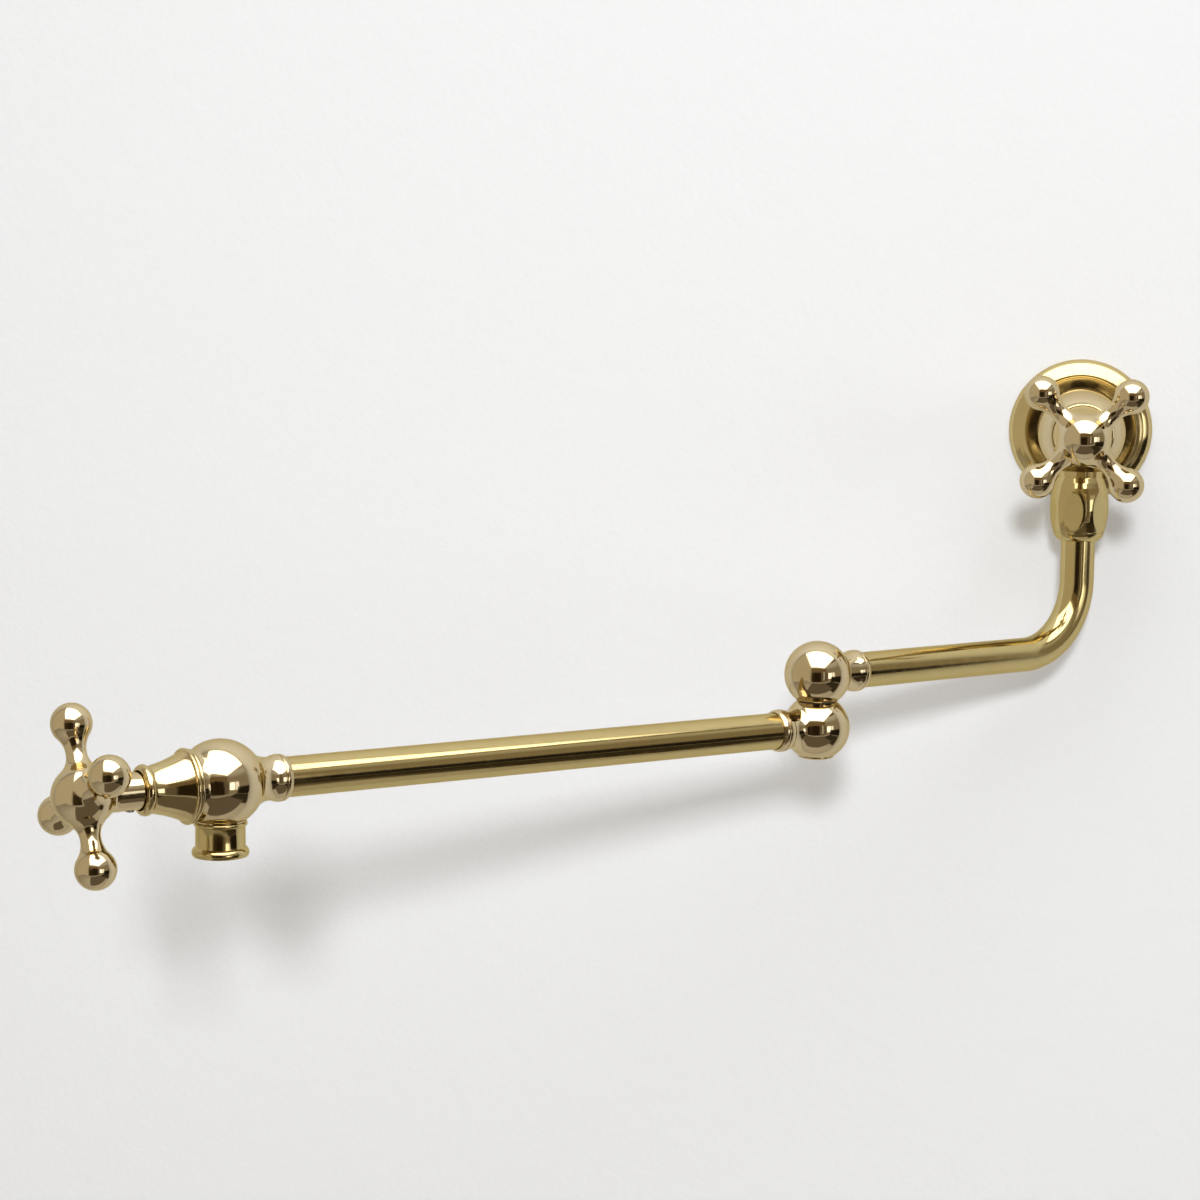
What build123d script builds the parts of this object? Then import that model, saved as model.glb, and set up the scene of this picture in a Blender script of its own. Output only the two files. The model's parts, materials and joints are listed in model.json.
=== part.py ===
"""Wall mounted pot filler: two cross-handle valves joined by a double swinging arm.

Millimetres. Origin at the centre of the inlet thread's mouth, on the wall plane. +X to the right
along the wall, -Y out into the room, +Z up. Both arms swing about vertical axes, and each handle
turns its valve a quarter turn.
"""
from build123d import *
import os
from math import asin, cos, degrees, radians, sin, sqrt

# ---- Layout --------------------------------------------------------------------------------------
axis_off = 44.0          # wall to the vertical swivel axis
arm_drop = 123.0         # inlet axis down to the upper arm's centre line
upper_reach = 192.5      # swivel axis to elbow axis
lower_reach = 341.0      # elbow axis to outlet axis
elbow_step = 28.2        # upper arm down to the lower arm
upper_angle = 45.5       # upper arm out from the wall, degrees
lower_angle = 42.0       # lower arm out from the wall, degrees

# ---- Clearances ----------------------------------------------------------------------------------
running = 0.05           # radial, on a turning fit
fixed_gap = 0.05         # radial, on threads and brazed sockets
face_gap = 0.05          # axial, between turning faces
play = 0.3               # radial, between pieces that pass but don't guide each other

# ---- Tube ----------------------------------------------------------------------------------------
tube_r = 9.5
tube_wall = 1.2
bend_r = 40.0            # centre line of the drop tube's bend
socket_depth = 10.0      # tube inside a fitting
water_r = 6.5            # water way through a fitting

# ---- Ball fittings -------------------------------------------------------------------------------
neck_r = 10.1
collar_r = 11.2
collar_base_r = 10.5
collar_bead = 3.2        # width of the collar's bead
collar_lip = 0.8         # plain lip beyond the bead
elbow_ball_r = 17.5
elbow_gap = 0.6          # between the two elbow balls, filled by the washer
upper_collar_end = 28.6
upper_blend = 0.8        # fillet between ball and neck
lower_collar_end = 27.7
lower_blend = 5.5
spout_ball_r = 20.5
spout_collar_end = 32.2
spout_blend = 6.5

# ---- Elbow swivel --------------------------------------------------------------------------------
post_r = 6.0
post_thread_r = 7.0
post_bore_r = 3.8
port_r = 2.6             # cross holes in the post
port_room_r = 9.0        # annular room round the cross holes
port_room = 8.0
post_seal_up = 8.5       # O-rings above and below the lower ball's centre
post_seal_down = 6.7
washer_r = 9.6
plug_r = 9.5             # circle where the plug meets the lower ball
plug_thread_r = 8.6
plug_groove = 0.35
plug_shoulder = 9.3      # lower ball's centre down to the shoulder over the plug
clip_washer_r = 8.3
clip_washer = 1.0
clip_r = 7.6
clip_width = 1.0
clip_groove_r = 5.2
clip_opening = 60.0      # degrees
post_end = 12.2          # lower ball's centre down to the post's end
plug_dome = 17.3         # lower ball's centre down to the plug's lowest point

# ---- Wall valve body and inlet -------------------------------------------------------------------
wall_ball_r = 24.4
shank_r = 13.0
rear_collar_r = 15.5
inlet_r = 9.32           # G1/2 female thread, minor radius
inlet_depth = 15.0
wall_bore_r = 8.0
outlet_room = 11.0       # a ball's centre down to the top of the bore or thread below it

# ---- Valve head, shared by both valves -----------------------------------------------------------
land_r = 16.5
land_height = 2.25
body_bead = 1.8
body_bead_r = 17.0
seat_depth = 18.6        # body's front face back to the seat
seat_web = 4.0
seat_hole_r = 5.5
chamber_r = 12.3
head_thread_r = 10.4
head_thread = 8.0
pocket_r = 12.2          # O-ring pocket in the front face
pocket = 1.7

# ---- Bonnet --------------------------------------------------------------------------------------
bonnet_base_r = 16.4
bonnet_flare_r = 16.1
bonnet_bead_r = 17.5
bonnet_bead = 2.3
bonnet_waist_r = 12.8
bonnet_waist = 10.4
bonnet_top_r = 10.8
bonnet_top = 18.4
nose_r = 11.8
nose_start = 19.0
nose_end = 23.6
nose_lip_r = 10.4
bonnet_wall = 1.9
web_low = 9.5
web_high = 13.5

# ---- Cartridge -----------------------------------------------------------------------------------
barrel_r = 9.0
barrel_end = 18.2        # behind the front face
disc_bore_r = 7.6
disc_thick = 3.0
seal_thick = 2.0
seal_inner_r = 6.4
port_in = 1.8
port_out = 6.2
port_spread = 80.0       # degrees
key_width = 3.0
key_depth = 1.5
key_length = 13.0
lug_side = 90.0          # degrees, from the head frame's +X to its +Y, where the stop lug points
driver_thick = 3.0
driver_r = 7.2
stop_r = 8.2
stop_width = 3.0
stop_gap = 1.0           # degrees each side of the stop lug at its limits
quarter_turn = 90.0
window_width = 7.0
window_height = 4.0
hex_flats = 22.0
hex_height = 3.5
sleeve_r = 7.75
spindle_r = 4.0
spindle_end = 36.0       # in front of the body's face
spindle_seal = 8.0
seal_section = 1.0       # thickness of the spindle's O-ring
seal_width = 1.8

# ---- Cross handle --------------------------------------------------------------------------------
handle_plane = 49.6      # body's face to the plane of the four arms
hub_r = 14.5
skirt_r = 8.6
skirt_start = 14.5
skirt_blend = 5.0
skirt_bore_r = 7.3
skirt_room = 22.0
spindle_socket = 37.0
arm_r = 4.65
arm_blend = 10.0         # fillet from hub to arm
ball_blend = 6.0         # fillet from arm to ball end
ball_end_r = 9.4
ball_end_at = 33.4       # handle axis to a ball end's centre
arm_count = 4
wall_handle_turn = 46.4  # degrees from up, clockwise from the front
end_handle_turn = -24.25
grub_r = 2.0
grub_at = 27.8           # body's face to the set screw
grub_proud = 0.5
grub_key = 1.9           # across the flats of its socket
grub_key_depth = 2.0

# ---- Wall swivel and union nut -------------------------------------------------------------------
nut_rim_r = 12.4
nut_rim = 2.3
nut_belly_r = 16.0
nut_belly = 40.0         # inlet axis down to the widest place
nut_lower_r = 15.1
nut_lower = 54.5
nut_groove_r = 14.3
nut_groove = 1.2
nut_lip = 1.0
nut_end_r = 12.5
nut_end = 59.5
nut_flats = 15.1         # axis to a milled flat
nut_sides = 6
nut_turn = 10.0          # degrees
spigot_r = 11.0
spigot_end = 38.0
tail_r = 8.0
tail_top = 24.0
tail_seal_high = 28.0
tail_seal_low = 34.0
tail_bore_r = 6.0
shoulder_r = 10.7
shoulder = 3.2
thrust_thick = 1.0
tail_seal_section = 1.4
tail_seal_width = 2.2
post_seal_section = 1.4
post_seal_width = 2.0

# ---- Flange --------------------------------------------------------------------------------------
flange_r = 40.8
flange_edge = 1.5
flange_shoulder_r = 39.2
flange_shoulder = 6.2
flange_crown_r = 35.6
flange_crown = 8.2
flange_inner_mid_r = 32.6
flange_inner_mid = 7.7
flange_inner_r = 30.6
flange_inner = 5.7
cove_start_r = 30.2
cove_start = 4.7
cove_mid_r = 20.8
cove_mid = 8.0
flange_neck_r = 16.9
flange_neck_start = 16.0
flange_depth = 21.0
gasket_r = 38.0
gasket_thick = 1.5
flange_screw_back = 2.5  # set screw back from the neck's end

# ---- Outlet --------------------------------------------------------------------------------------
outlet_boss_r = 11.9
outlet_boss = 0.2        # boss beyond the head's bead; the depths below are from its flat down
nozzle_flange_r = 12.4
nozzle_flange = 2.3
nozzle_neck_r = 11.45
nozzle_neck = 12.0
nozzle_rim_r = 13.1
nozzle_rim_mid = 14.0
nozzle_lip_r = 12.5
nozzle_end = 16.3
nozzle_thread_r = 8.5
nozzle_thread = 5.0
nozzle_bore_r = 6.8
aerator_r = 10.0
aerator_top = 6.8
aerator_washer = 1.6
aerator_washer_bore_r = 7.4
aerator_bore_r = 8.8
aerator_lip_r = 8.0
aerator_set_in = 0.5     # aerator back from the nozzle's end
aerator_lip = 0.7
screen_thick = 0.8
screen_hole = 1.2
screen_pitch = 1.8

# ---- Directions and centres ----------------------------------------------------------------------
up = Vector(0, 0, 1)
outward = Vector(0, -1, 0)
upper_dir = Vector(-cos(radians(upper_angle)), -sin(radians(upper_angle)), 0)
lower_dir = Vector(-cos(radians(lower_angle)), -sin(radians(lower_angle)), 0)
wall_ball = outward * axis_off
upper_ball = wall_ball - up * arm_drop + upper_dir * upper_reach
lower_ball = upper_ball - up * elbow_step
spout_ball = lower_ball + lower_dir * lower_reach


# ---- Shape helpers -------------------------------------------------------------------------------
def outline(*steps):
    """Closed face: each step is a point for a straight run, or a pair of points for an arc."""
    edges = []
    here = steps[0]
    for step in steps[1:]:
        if isinstance(step[0], tuple):
            edges.append(ThreePointArc(here, *step))
            here = step[1]
        else:
            edges.append(Line(here, step))
            here = step
    if here != steps[0]:
        edges.append(Line(here, steps[0]))
    return make_face(edges)


def turned(*steps):
    """Solid of revolution about Z; its outline's points are (radius, height)."""
    return revolve(Plane.XZ * outline(*steps), axis=Axis.Z)


def rod(radius, low, high):
    """Cylinder on the Z axis between two heights."""
    return Pos(0, 0, (low + high) / 2) * Cylinder(radius, high - low)


def ring(outer, inner, low, high):
    """Flat ring on the Z axis between two heights."""
    return Pos(0, 0, low) * extrude(Circle(outer) - Circle(inner), high - low)


def past(ball_r, height):
    """What lies on the Z axis past a height, wider and higher than a ball."""
    return rod(2 * ball_r, height, 2 * ball_r)


def o_ring(outer, section, height):
    """Ring of round section, by its outer radius."""
    return Pos(0, 0, height) * Torus(outer - section / 2, section / 2)


def sector(inner, outer, spread, middle):
    """Part of a flat ring, spread degrees wide about the middle angle."""
    def at(radius, angle):
        return (radius * cos(radians(angle)), radius * sin(radians(angle)))
    first = middle - spread / 2
    last = middle + spread / 2
    return outline(at(inner, first), at(outer, first), (at(outer, middle), at(outer, last)),
                   at(inner, last), (at(inner, middle), at(inner, first)))


def blend(ball_r, neck, fillet_r):
    """Fillet from a ball at the origin to a neck along +Z: its start on the ball, middle and end."""
    centre = Vector(neck + fillet_r, sqrt((ball_r + fillet_r) ** 2 - (neck + fillet_r) ** 2))
    on_ball = centre * (ball_r / (ball_r + fillet_r))
    on_neck = Vector(neck, centre.Y)
    middle = centre + (on_ball + on_neck - centre * 2).normalized() * fillet_r
    return tuple((point.X, point.Y) for point in (on_ball, middle, on_neck))


def dome(edge_r, edge, top):
    """Arc over the axis from an edge to a rounded top: its middle and its end."""
    rise = top - edge
    ball_r = (edge_r ** 2 + rise ** 2) / (2 * rise)
    middle_r = edge_r / 2
    return (middle_r, top - ball_r + sqrt(ball_r ** 2 - middle_r ** 2)), (0, top)


def facing(origin, direction):
    """Frame with +Z along a level direction and +Y up."""
    return Plane(origin=origin, x_dir=up.cross(direction), z_dir=direction)


def below(origin):
    """Frame with +Z straight down and +X to the right."""
    return Plane(origin=origin, x_dir=(1, 0, 0), z_dir=(0, 0, -1))


def face_height(ball_r):
    """Ball's centre to the front face that the bonnet sits on."""
    return sqrt(ball_r ** 2 - land_r ** 2) + land_height + body_bead


# ---- Ball fittings -------------------------------------------------------------------------------
def tube_fitting(ball_r, blend_r, collar_end):
    """Ball with a neck and a beaded collar; the tube leaves along +Z."""
    on_ball, middle, on_neck = blend(ball_r, neck_r, blend_r)
    bead_end = collar_end - collar_lip
    bead_start = bead_end - collar_bead
    return turned(
        (0, -ball_r),
        ((ball_r, 0), on_ball),
        (middle, on_neck),
        (collar_base_r, bead_start),
        ((collar_r, (bead_start + bead_end) / 2), (collar_base_r, bead_end)),
        (collar_base_r, collar_end),
        (0, collar_end),
    )


def tube_way(start, collar_end):
    """Socket for the tube, and the water way behind it."""
    bottom = collar_end - socket_depth
    return rod(tube_r + fixed_gap, bottom, collar_end) + rod(water_r, start, bottom)


def elbow_flat():
    """Centre of an elbow ball to its flat, where the other ball meets it."""
    return (elbow_step - elbow_gap) / 2


def elbow_fitting(centre, direction, blend_r, collar_end, flat_side):
    """Elbow ball with its neck, cut flat on the side that meets the other ball."""
    frame = facing(centre, direction)
    solid = frame * tube_fitting(elbow_ball_r, blend_r, collar_end)
    solid -= frame * tube_way(0, collar_end)
    cut = Box(4 * elbow_ball_r, 4 * elbow_ball_r, elbow_ball_r,
              align=(Align.CENTER, Align.CENTER, Align.MIN))
    side = Plane(origin=centre, z_dir=flat_side)
    return solid - side * Pos(0, 0, elbow_flat()) * cut


def upper_elbow():
    """Ball at the end of the upper arm, tapped from below for the swivel post."""
    solid = elbow_fitting(upper_ball, -upper_dir, upper_blend, upper_collar_end, -up)
    return solid - below(upper_ball) * rod(post_thread_r + fixed_gap, 0, elbow_flat())


def lower_elbow():
    """Ball at the start of the lower arm, bored for the swivel post and counterbored for the plug."""
    solid = elbow_fitting(lower_ball, lower_dir, lower_blend, lower_collar_end, up)
    plug_seat = plug_head()
    room = rod(post_r + running, -elbow_flat(), plug_shoulder)
    room += rod(port_room_r, -port_room / 2, port_room / 2)
    room += rod(plug_thread_r + fixed_gap, plug_shoulder, plug_seat)
    room += past(elbow_ball_r, plug_seat)
    return solid - below(lower_ball) * room


def swivel_post():
    """Hollow post screwed into the upper ball, with cross holes at the lower ball's centre."""
    thread_top = -elbow_step + water_r + play
    post = rod(post_thread_r, thread_top, -elbow_step + elbow_flat())
    post += rod(post_r, -elbow_step + elbow_flat(), post_end)
    post -= rod(post_bore_r, thread_top, port_r + tube_wall)
    for turn in (0, 90):
        post -= Rot(0, 0, turn) * Rot(90, 0, 0) * Cylinder(port_r, 4 * post_r)
    for height in post_seal_heights():
        post -= ring(post_r + running, post_r - post_seal_section, height - post_seal_width / 2,
                     height + post_seal_width / 2)
    post -= ring(post_r + running, clip_groove_r, clip_start(), clip_start() + clip_width + face_gap)
    return below(lower_ball) * post


def post_seal_heights():
    """Depths of the post's two O-rings from the lower ball's centre."""
    return (-post_seal_up, post_seal_down)


def post_seals():
    """Two O-rings in the post's grooves."""
    rings = [o_ring(post_r, post_seal_section, height) for height in post_seal_heights()]
    return below(lower_ball) * Compound(rings)


def elbow_washer():
    """Thin washer between the two elbow balls."""
    start = -elbow_flat() - elbow_gap + face_gap
    return below(lower_ball) * ring(washer_r, post_r + play, start, -elbow_flat())


def clip_start():
    """Lower ball's centre down to the snap ring."""
    return plug_shoulder + clip_washer + face_gap


def post_washer():
    """Thrust washer between the lower ball's shoulder and the snap ring."""
    end = plug_shoulder + clip_washer
    return below(lower_ball) * ring(clip_washer_r, post_r + play, plug_shoulder, end)


def snap_ring():
    """Open ring in the post's lower groove."""
    full = ring(clip_r, clip_groove_r + fixed_gap, clip_start(), clip_start() + clip_width)
    mouth = extrude(sector(post_r / 2, clip_r + play, clip_opening, 0), 4 * post_end)
    return below(lower_ball) * (full - mouth)


def plug_head():
    """Lower ball's centre down to the flat that the plug's head sits on."""
    return sqrt(elbow_ball_r ** 2 - plug_r ** 2)


def elbow_plug():
    """Domed plug that closes the lower ball."""
    head_r = plug_r - plug_groove
    head = plug_head()
    edge = head + plug_groove
    return below(lower_ball) * turned(
        (0, post_end + play),
        (plug_thread_r, post_end + play),
        (plug_thread_r, head),
        (head_r, head),
        (head_r, edge),
        dome(head_r, edge, plug_dome),
    )


# ---- Tubes ---------------------------------------------------------------------------------------
def tube_section():
    """Cross-section of the tube."""
    return Circle(tube_r) - Circle(tube_r - tube_wall)


def drop_tube():
    """Tube from the union nut down and out to the upper elbow, in one bend."""
    start = shoulder_end()
    reach = upper_reach - upper_collar_end + socket_depth
    frame = Plane(origin=wall_ball, x_dir=upper_dir, z_dir=upper_dir.cross(up))
    path = frame * FilletPolyline((0, -start), (0, -arm_drop), (reach, -arm_drop), radius=bend_r)
    return sweep(Plane(origin=path @ 0, z_dir=path % 0) * tube_section(), path=path)


def arm_tube():
    """Straight tube of the lower arm."""
    start = lower_collar_end - socket_depth
    end = lower_reach - spout_collar_end + socket_depth
    return facing(lower_ball, lower_dir) * Pos(0, 0, start) * extrude(tube_section(), end - start)


# ---- Wall swivel ---------------------------------------------------------------------------------
def nut_top():
    """Inlet axis down to the flat under the wall ball."""
    return sqrt(wall_ball_r ** 2 - nut_rim_r ** 2)


def shoulder_start():
    """Inlet axis down to the tail piece's shoulder."""
    return spigot_end + face_gap + thrust_thick


def shoulder_end():
    """Inlet axis down to the underside of the tail piece's shoulder."""
    return shoulder_start() + shoulder


def thrust_seat():
    """Inlet axis down to the seat inside the union nut."""
    return shoulder_end() + thrust_thick + face_gap


def union_nut():
    """Barrel nut with milled flats, which holds the drop tube's tail piece up to the valve body."""
    barrel = turned(
        (0, nut_top()),
        (nut_rim_r, nut_top()),
        (nut_rim_r, nut_top() + nut_rim),
        ((nut_belly_r, nut_belly), (nut_lower_r, nut_lower)),
        (nut_groove_r, nut_lower),
        (nut_groove_r, nut_lower + nut_groove),
        (nut_groove_r + nut_lip / 2, nut_lower + nut_groove),
        (nut_groove_r + nut_lip / 2, nut_lower + nut_groove + nut_lip),
        (nut_end_r, nut_end),
        (0, nut_end),
    )
    prism = extrude(RegularPolygon(nut_flats, nut_sides, major_radius=False), nut_end)
    nut = barrel & Rot(0, 0, nut_turn) * prism
    nut -= rod(spigot_r + fixed_gap, nut_top(), thrust_seat())
    nut -= rod(tube_r + play, thrust_seat(), nut_end)
    return below(wall_ball) * nut


def swivel_tail():
    """Tail piece brazed into the drop tube, turning in the valve body's spigot."""
    tail = rod(tail_r - running, tail_top, shoulder_start())
    tail += rod(shoulder_r, shoulder_start(), shoulder_end())
    tail += rod(tube_r - tube_wall - fixed_gap, shoulder_end(), shoulder_end() + socket_depth)
    tail -= rod(tail_bore_r, tail_top, shoulder_end() + socket_depth)
    for height in (tail_seal_high, tail_seal_low):
        tail -= ring(tail_r, tail_r - running - tail_seal_section, height - tail_seal_width / 2,
                     height + tail_seal_width / 2)
    return below(wall_ball) * tail


def tail_seals():
    """Two O-rings on the tail piece."""
    heights = (tail_seal_high, tail_seal_low)
    rings = [o_ring(tail_r - running, tail_seal_section, height) for height in heights]
    return below(wall_ball) * Compound(rings)


def thrust_washers():
    """Two slip washers, above and below the tail piece's shoulder."""
    upper = ring(shoulder_r, tail_r + play, spigot_end + face_gap, shoulder_start())
    lower = ring(shoulder_r, tube_r + play / 2, shoulder_end(), shoulder_end() + thrust_thick)
    return below(wall_ball) * Compound([upper, lower])


# ---- Valve bodies --------------------------------------------------------------------------------
def head_boss(ball_r):
    """Land and bead in front of a ball, up to the face that the bonnet sits on."""
    face = face_height(ball_r)
    return turned(
        (0, 0),
        (land_r, 0),
        (land_r, face - body_bead),
        ((body_bead_r, face - body_bead / 2), (land_r, face)),
        (0, face),
    )


def head_room(ball_r):
    """Room for the cartridge: O-ring pocket, thread, chamber and seat hole."""
    face = face_height(ball_r)
    seat = face - seat_depth
    room = rod(head_thread_r, face - head_thread, face)
    room += rod(pocket_r, face - pocket, face)
    room += rod(chamber_r, seat, face - head_thread)
    return room + rod(seat_hole_r, seat - seat_web, seat)


def wall_valve_body():
    """Ball body with its inlet shank at the back, head in front and spigot below."""
    seat_back = face_height(wall_ball_r) - seat_depth - seat_web
    thread_end = inlet_depth - axis_off
    solid = Sphere(wall_ball_r) + head_boss(wall_ball_r)
    solid += rod(rear_collar_r, flange_depth - axis_off, 0)
    solid += rod(shank_r, -axis_off, 0)
    solid = facing(wall_ball, outward) * (solid - past(wall_ball_r, face_height(wall_ball_r)))
    solid -= below(wall_ball) * past(wall_ball_r, nut_top())
    solid += below(wall_ball) * rod(spigot_r, outlet_room, spigot_end)
    hollow = head_room(wall_ball_r)
    hollow += rod(inlet_r, -axis_off, thread_end)
    hollow += rod(wall_bore_r, thread_end, seat_back)
    solid -= facing(wall_ball, outward) * hollow
    return solid - below(wall_ball) * rod(tail_r, outlet_room, spigot_end)


def end_valve_body():
    """Ball body at the end of the lower arm, with its head in front and the nozzle's thread below."""
    seat_back = face_height(spout_ball_r) - seat_depth - seat_web
    solid = facing(spout_ball, -lower_dir) * tube_fitting(spout_ball_r, spout_blend, spout_collar_end)
    solid += facing(spout_ball, lower_dir) * head_boss(spout_ball_r)
    solid -= facing(spout_ball, lower_dir) * past(spout_ball_r, face_height(spout_ball_r))
    solid += below(spout_ball) * rod(outlet_boss_r, outlet_room, nozzle_top())
    solid -= below(spout_ball) * past(spout_ball_r, nozzle_top())
    solid -= facing(spout_ball, lower_dir) * head_room(spout_ball_r)
    solid -= facing(spout_ball, -lower_dir) * tube_way(-seat_back, spout_collar_end)
    return solid - below(spout_ball) * rod(nozzle_thread_r + fixed_gap, outlet_room, nozzle_top())


def nozzle_top():
    """Spout ball's centre down to the boss's flat, which the nozzle seats on."""
    return max(sqrt(spout_ball_r ** 2 - outlet_boss_r ** 2), body_bead_r) + outlet_boss


def head_frame(ball, direction, ball_r):
    """Frame of a valve head: origin on the body's front face, +Z towards the handle, +Y up."""
    return facing(ball + direction * face_height(ball_r), direction)


# ---- Head pieces, in the head frame --------------------------------------------------------------
def bonnet():
    """Flared cover over the cartridge, screwed on its sleeve by an inner web."""
    flare_wall = bonnet_flare_r - bonnet_wall
    shell = turned(
        (0, 0),
        (bonnet_base_r, 0),
        ((bonnet_bead_r, bonnet_bead / 2), (bonnet_base_r, bonnet_bead)),
        (bonnet_flare_r, bonnet_bead),
        ((bonnet_waist_r, bonnet_waist), (bonnet_top_r, bonnet_top)),
        (bonnet_top_r, nose_start),
        ((nose_r, (nose_start + nose_end) / 2), (nose_lip_r, nose_end)),
        (0, nose_end),
    )
    shell -= turned((0, 0), (flare_wall, 0), (flare_wall, bonnet_bead),
                    (bonnet_waist_r - bonnet_wall, web_low), (0, web_low))
    shell -= rod(sleeve_r + fixed_gap, web_low, web_high)
    return shell - rod(skirt_r + 2 * play, web_high, nose_end)


def seal_start():
    """Front face back to the inner face of the seat seal."""
    return -seat_depth + seal_thick


def moving_start():
    """Front face back to the moving disc."""
    return seal_start() + disc_thick


def driver_start():
    """Front face back to the spindle's driver."""
    return moving_start() + face_gap + disc_thick


def driver_end():
    """Front face back to the top of the spindle's driver."""
    return driver_start() + driver_thick


def stop_half_angle():
    """Half the angle that the stop lug takes up, degrees."""
    return degrees(asin(stop_width / 2 / driver_r))


def cartridge_housing():
    """Body of the ceramic cartridge, with side windows and a slot that stops the spindle."""
    top = driver_end() + play
    housing = rod(barrel_r, -barrel_end, -head_thread)
    housing += rod(head_thread_r - fixed_gap, -head_thread, 0)
    housing += extrude(RegularPolygon(hex_flats / 2, 6, major_radius=False), hex_height)
    housing += rod(sleeve_r, 0, web_high)
    housing -= rod(disc_bore_r, -barrel_end, top)
    housing -= rod(spindle_r + running, top, web_high)
    window = Box(4 * barrel_r, window_width, window_height)
    housing -= Pos(0, 0, moving_start() + window_height / 2) * window
    swing = quarter_turn + 2 * (stop_half_angle() + stop_gap)
    slot = sector(disc_bore_r / 2, stop_r + play, swing, lug_side + quarter_turn / 2)
    return housing - Pos(0, 0, driver_start() - play) * extrude(slot, top - driver_start() + play)


def disc(radius, start, middle):
    """Ceramic disc with two opposite ports."""
    solid = rod(radius, start, start + disc_thick)
    for turn in (0, 180):
        port = sector(port_in, port_out, port_spread, middle + turn)
        solid -= Pos(0, 0, start) * extrude(port, disc_thick)
    return solid


def fixed_disc():
    """Disc that is held in the housing."""
    return disc(disc_bore_r - running, seal_start(), 0)


def moving_disc():
    """Disc that the spindle turns, closed at rest, with a key slot across its top."""
    start = moving_start() + face_gap
    key_slot = Box(4 * driver_r, key_width, 2 * key_depth)
    return disc(driver_r, start, lug_side) - Pos(0, 0, start + disc_thick) * key_slot


def spindle():
    """Shaft with its driver, key, stop lug and O-ring groove."""
    solid = rod(driver_r, driver_start() + face_gap, driver_end())
    key = Box(key_length, key_width - 2 * fixed_gap, key_depth)
    solid += Pos(0, 0, driver_start() - key_depth / 2 + face_gap) * key
    lug = Box(stop_width, stop_r, driver_thick - face_gap,
              align=(Align.CENTER, Align.MIN, Align.MIN))
    solid += Pos(0, 0, driver_start() + face_gap) * lug
    solid += rod(spindle_r, driver_end(), spindle_end)
    groove = ring(spindle_r + running, spindle_r - seal_section, spindle_seal - seal_width / 2,
                  spindle_seal + seal_width / 2)
    return solid - groove


def spindle_seal_ring():
    """O-ring on the spindle."""
    return o_ring(spindle_r, seal_section, spindle_seal)


def seat_seal():
    """Rubber ring between the seat and the fixed disc."""
    return ring(disc_bore_r - running, seal_inner_r, -seat_depth, seal_start())


def housing_seal():
    """O-ring in the body's front pocket."""
    return o_ring(pocket_r - fixed_gap, pocket - fixed_gap, -pocket / 2)


# ---- Cross handle, in the head frame -------------------------------------------------------------
def handle_arm():
    """One arm along +Z from the hub's centre, flared out of the hub and into its ball end."""
    on_hub, hub_middle, on_arm = blend(hub_r, arm_r, arm_blend)
    on_ball, ball_middle, at_ball = blend(ball_end_r, arm_r, ball_blend)
    return turned(
        (0, 0),
        on_hub,
        (hub_middle, on_arm),
        (arm_r, ball_end_at - at_ball[1]),
        ((ball_middle[0], ball_end_at - ball_middle[1]), (on_ball[0], ball_end_at - on_ball[1])),
        ((ball_end_r, ball_end_at), (0, ball_end_at + ball_end_r)),
    )


def handle_skirt():
    """Plain skirt along +Z from the hub's centre."""
    on_hub, middle, on_skirt = blend(hub_r, skirt_r, skirt_blend)
    return turned((0, 0), on_hub, (middle, on_skirt), (skirt_r, handle_plane - skirt_start),
                  (0, handle_plane - skirt_start))


def cross_handle(turn):
    """Hub, skirt and four arms in one casting; turn is the first arm's angle from up."""
    solid = Sphere(hub_r)
    for index in range(arm_count):
        solid += Rot(0, 0, index * 360 / arm_count - turn) * Rot(-90, 0, 0) * handle_arm()
    solid += Rot(180, 0, 0) * handle_skirt()
    solid = Pos(0, 0, handle_plane) * solid
    solid -= rod(skirt_bore_r, skirt_start, skirt_room)
    solid -= rod(spindle_r + fixed_gap, skirt_room, spindle_socket)
    return solid - Pos(0, 0, grub_at) * Rot(90, 0, 0) * rod(grub_r + fixed_gap, 0, skirt_r + play)


def handle_screw():
    """Set screw through the underside of the skirt, down on the spindle."""
    screw = rod(grub_r, spindle_r, skirt_r + grub_proud)
    key = extrude(RegularPolygon(grub_key / 2, 6, major_radius=False), grub_key_depth)
    screw -= Pos(0, 0, skirt_r + grub_proud - grub_key_depth) * key
    return Pos(0, 0, grub_at) * Rot(90, 0, 0) * screw


# ---- Flange --------------------------------------------------------------------------------------
def wall_flange():
    """Turned escutcheon: convex outer ring, cove and neck, with a recess for the gasket."""
    solid = turned(
        (0, 0),
        (flange_r - flange_edge / 2, 0),
        (flange_r, flange_edge),
        ((flange_shoulder_r, flange_shoulder), (flange_crown_r, flange_crown)),
        ((flange_inner_mid_r, flange_inner_mid), (flange_inner_r, flange_inner)),
        (cove_start_r, cove_start),
        ((cove_mid_r, cove_mid), (flange_neck_r, flange_neck_start)),
        (flange_neck_r, flange_depth),
        (0, flange_depth),
    )
    solid -= rod(shank_r + play, 0, flange_depth)
    solid -= rod(gasket_r, 0, gasket_thick)
    solid -= flange_screw_place() * rod(grub_r + fixed_gap, 0, flange_neck_r + play)
    return facing(Vector(0, 0, 0), outward) * solid


def flange_screw_place():
    """Frame on the flange's axis, with +Z down through its set screw."""
    return Pos(0, 0, flange_depth - flange_screw_back) * Rot(90, 0, 0)


def flange_gasket():
    """Flat rubber ring in the flange's back."""
    return facing(Vector(0, 0, 0), outward) * ring(gasket_r, shank_r + play, 0, gasket_thick)


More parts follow.
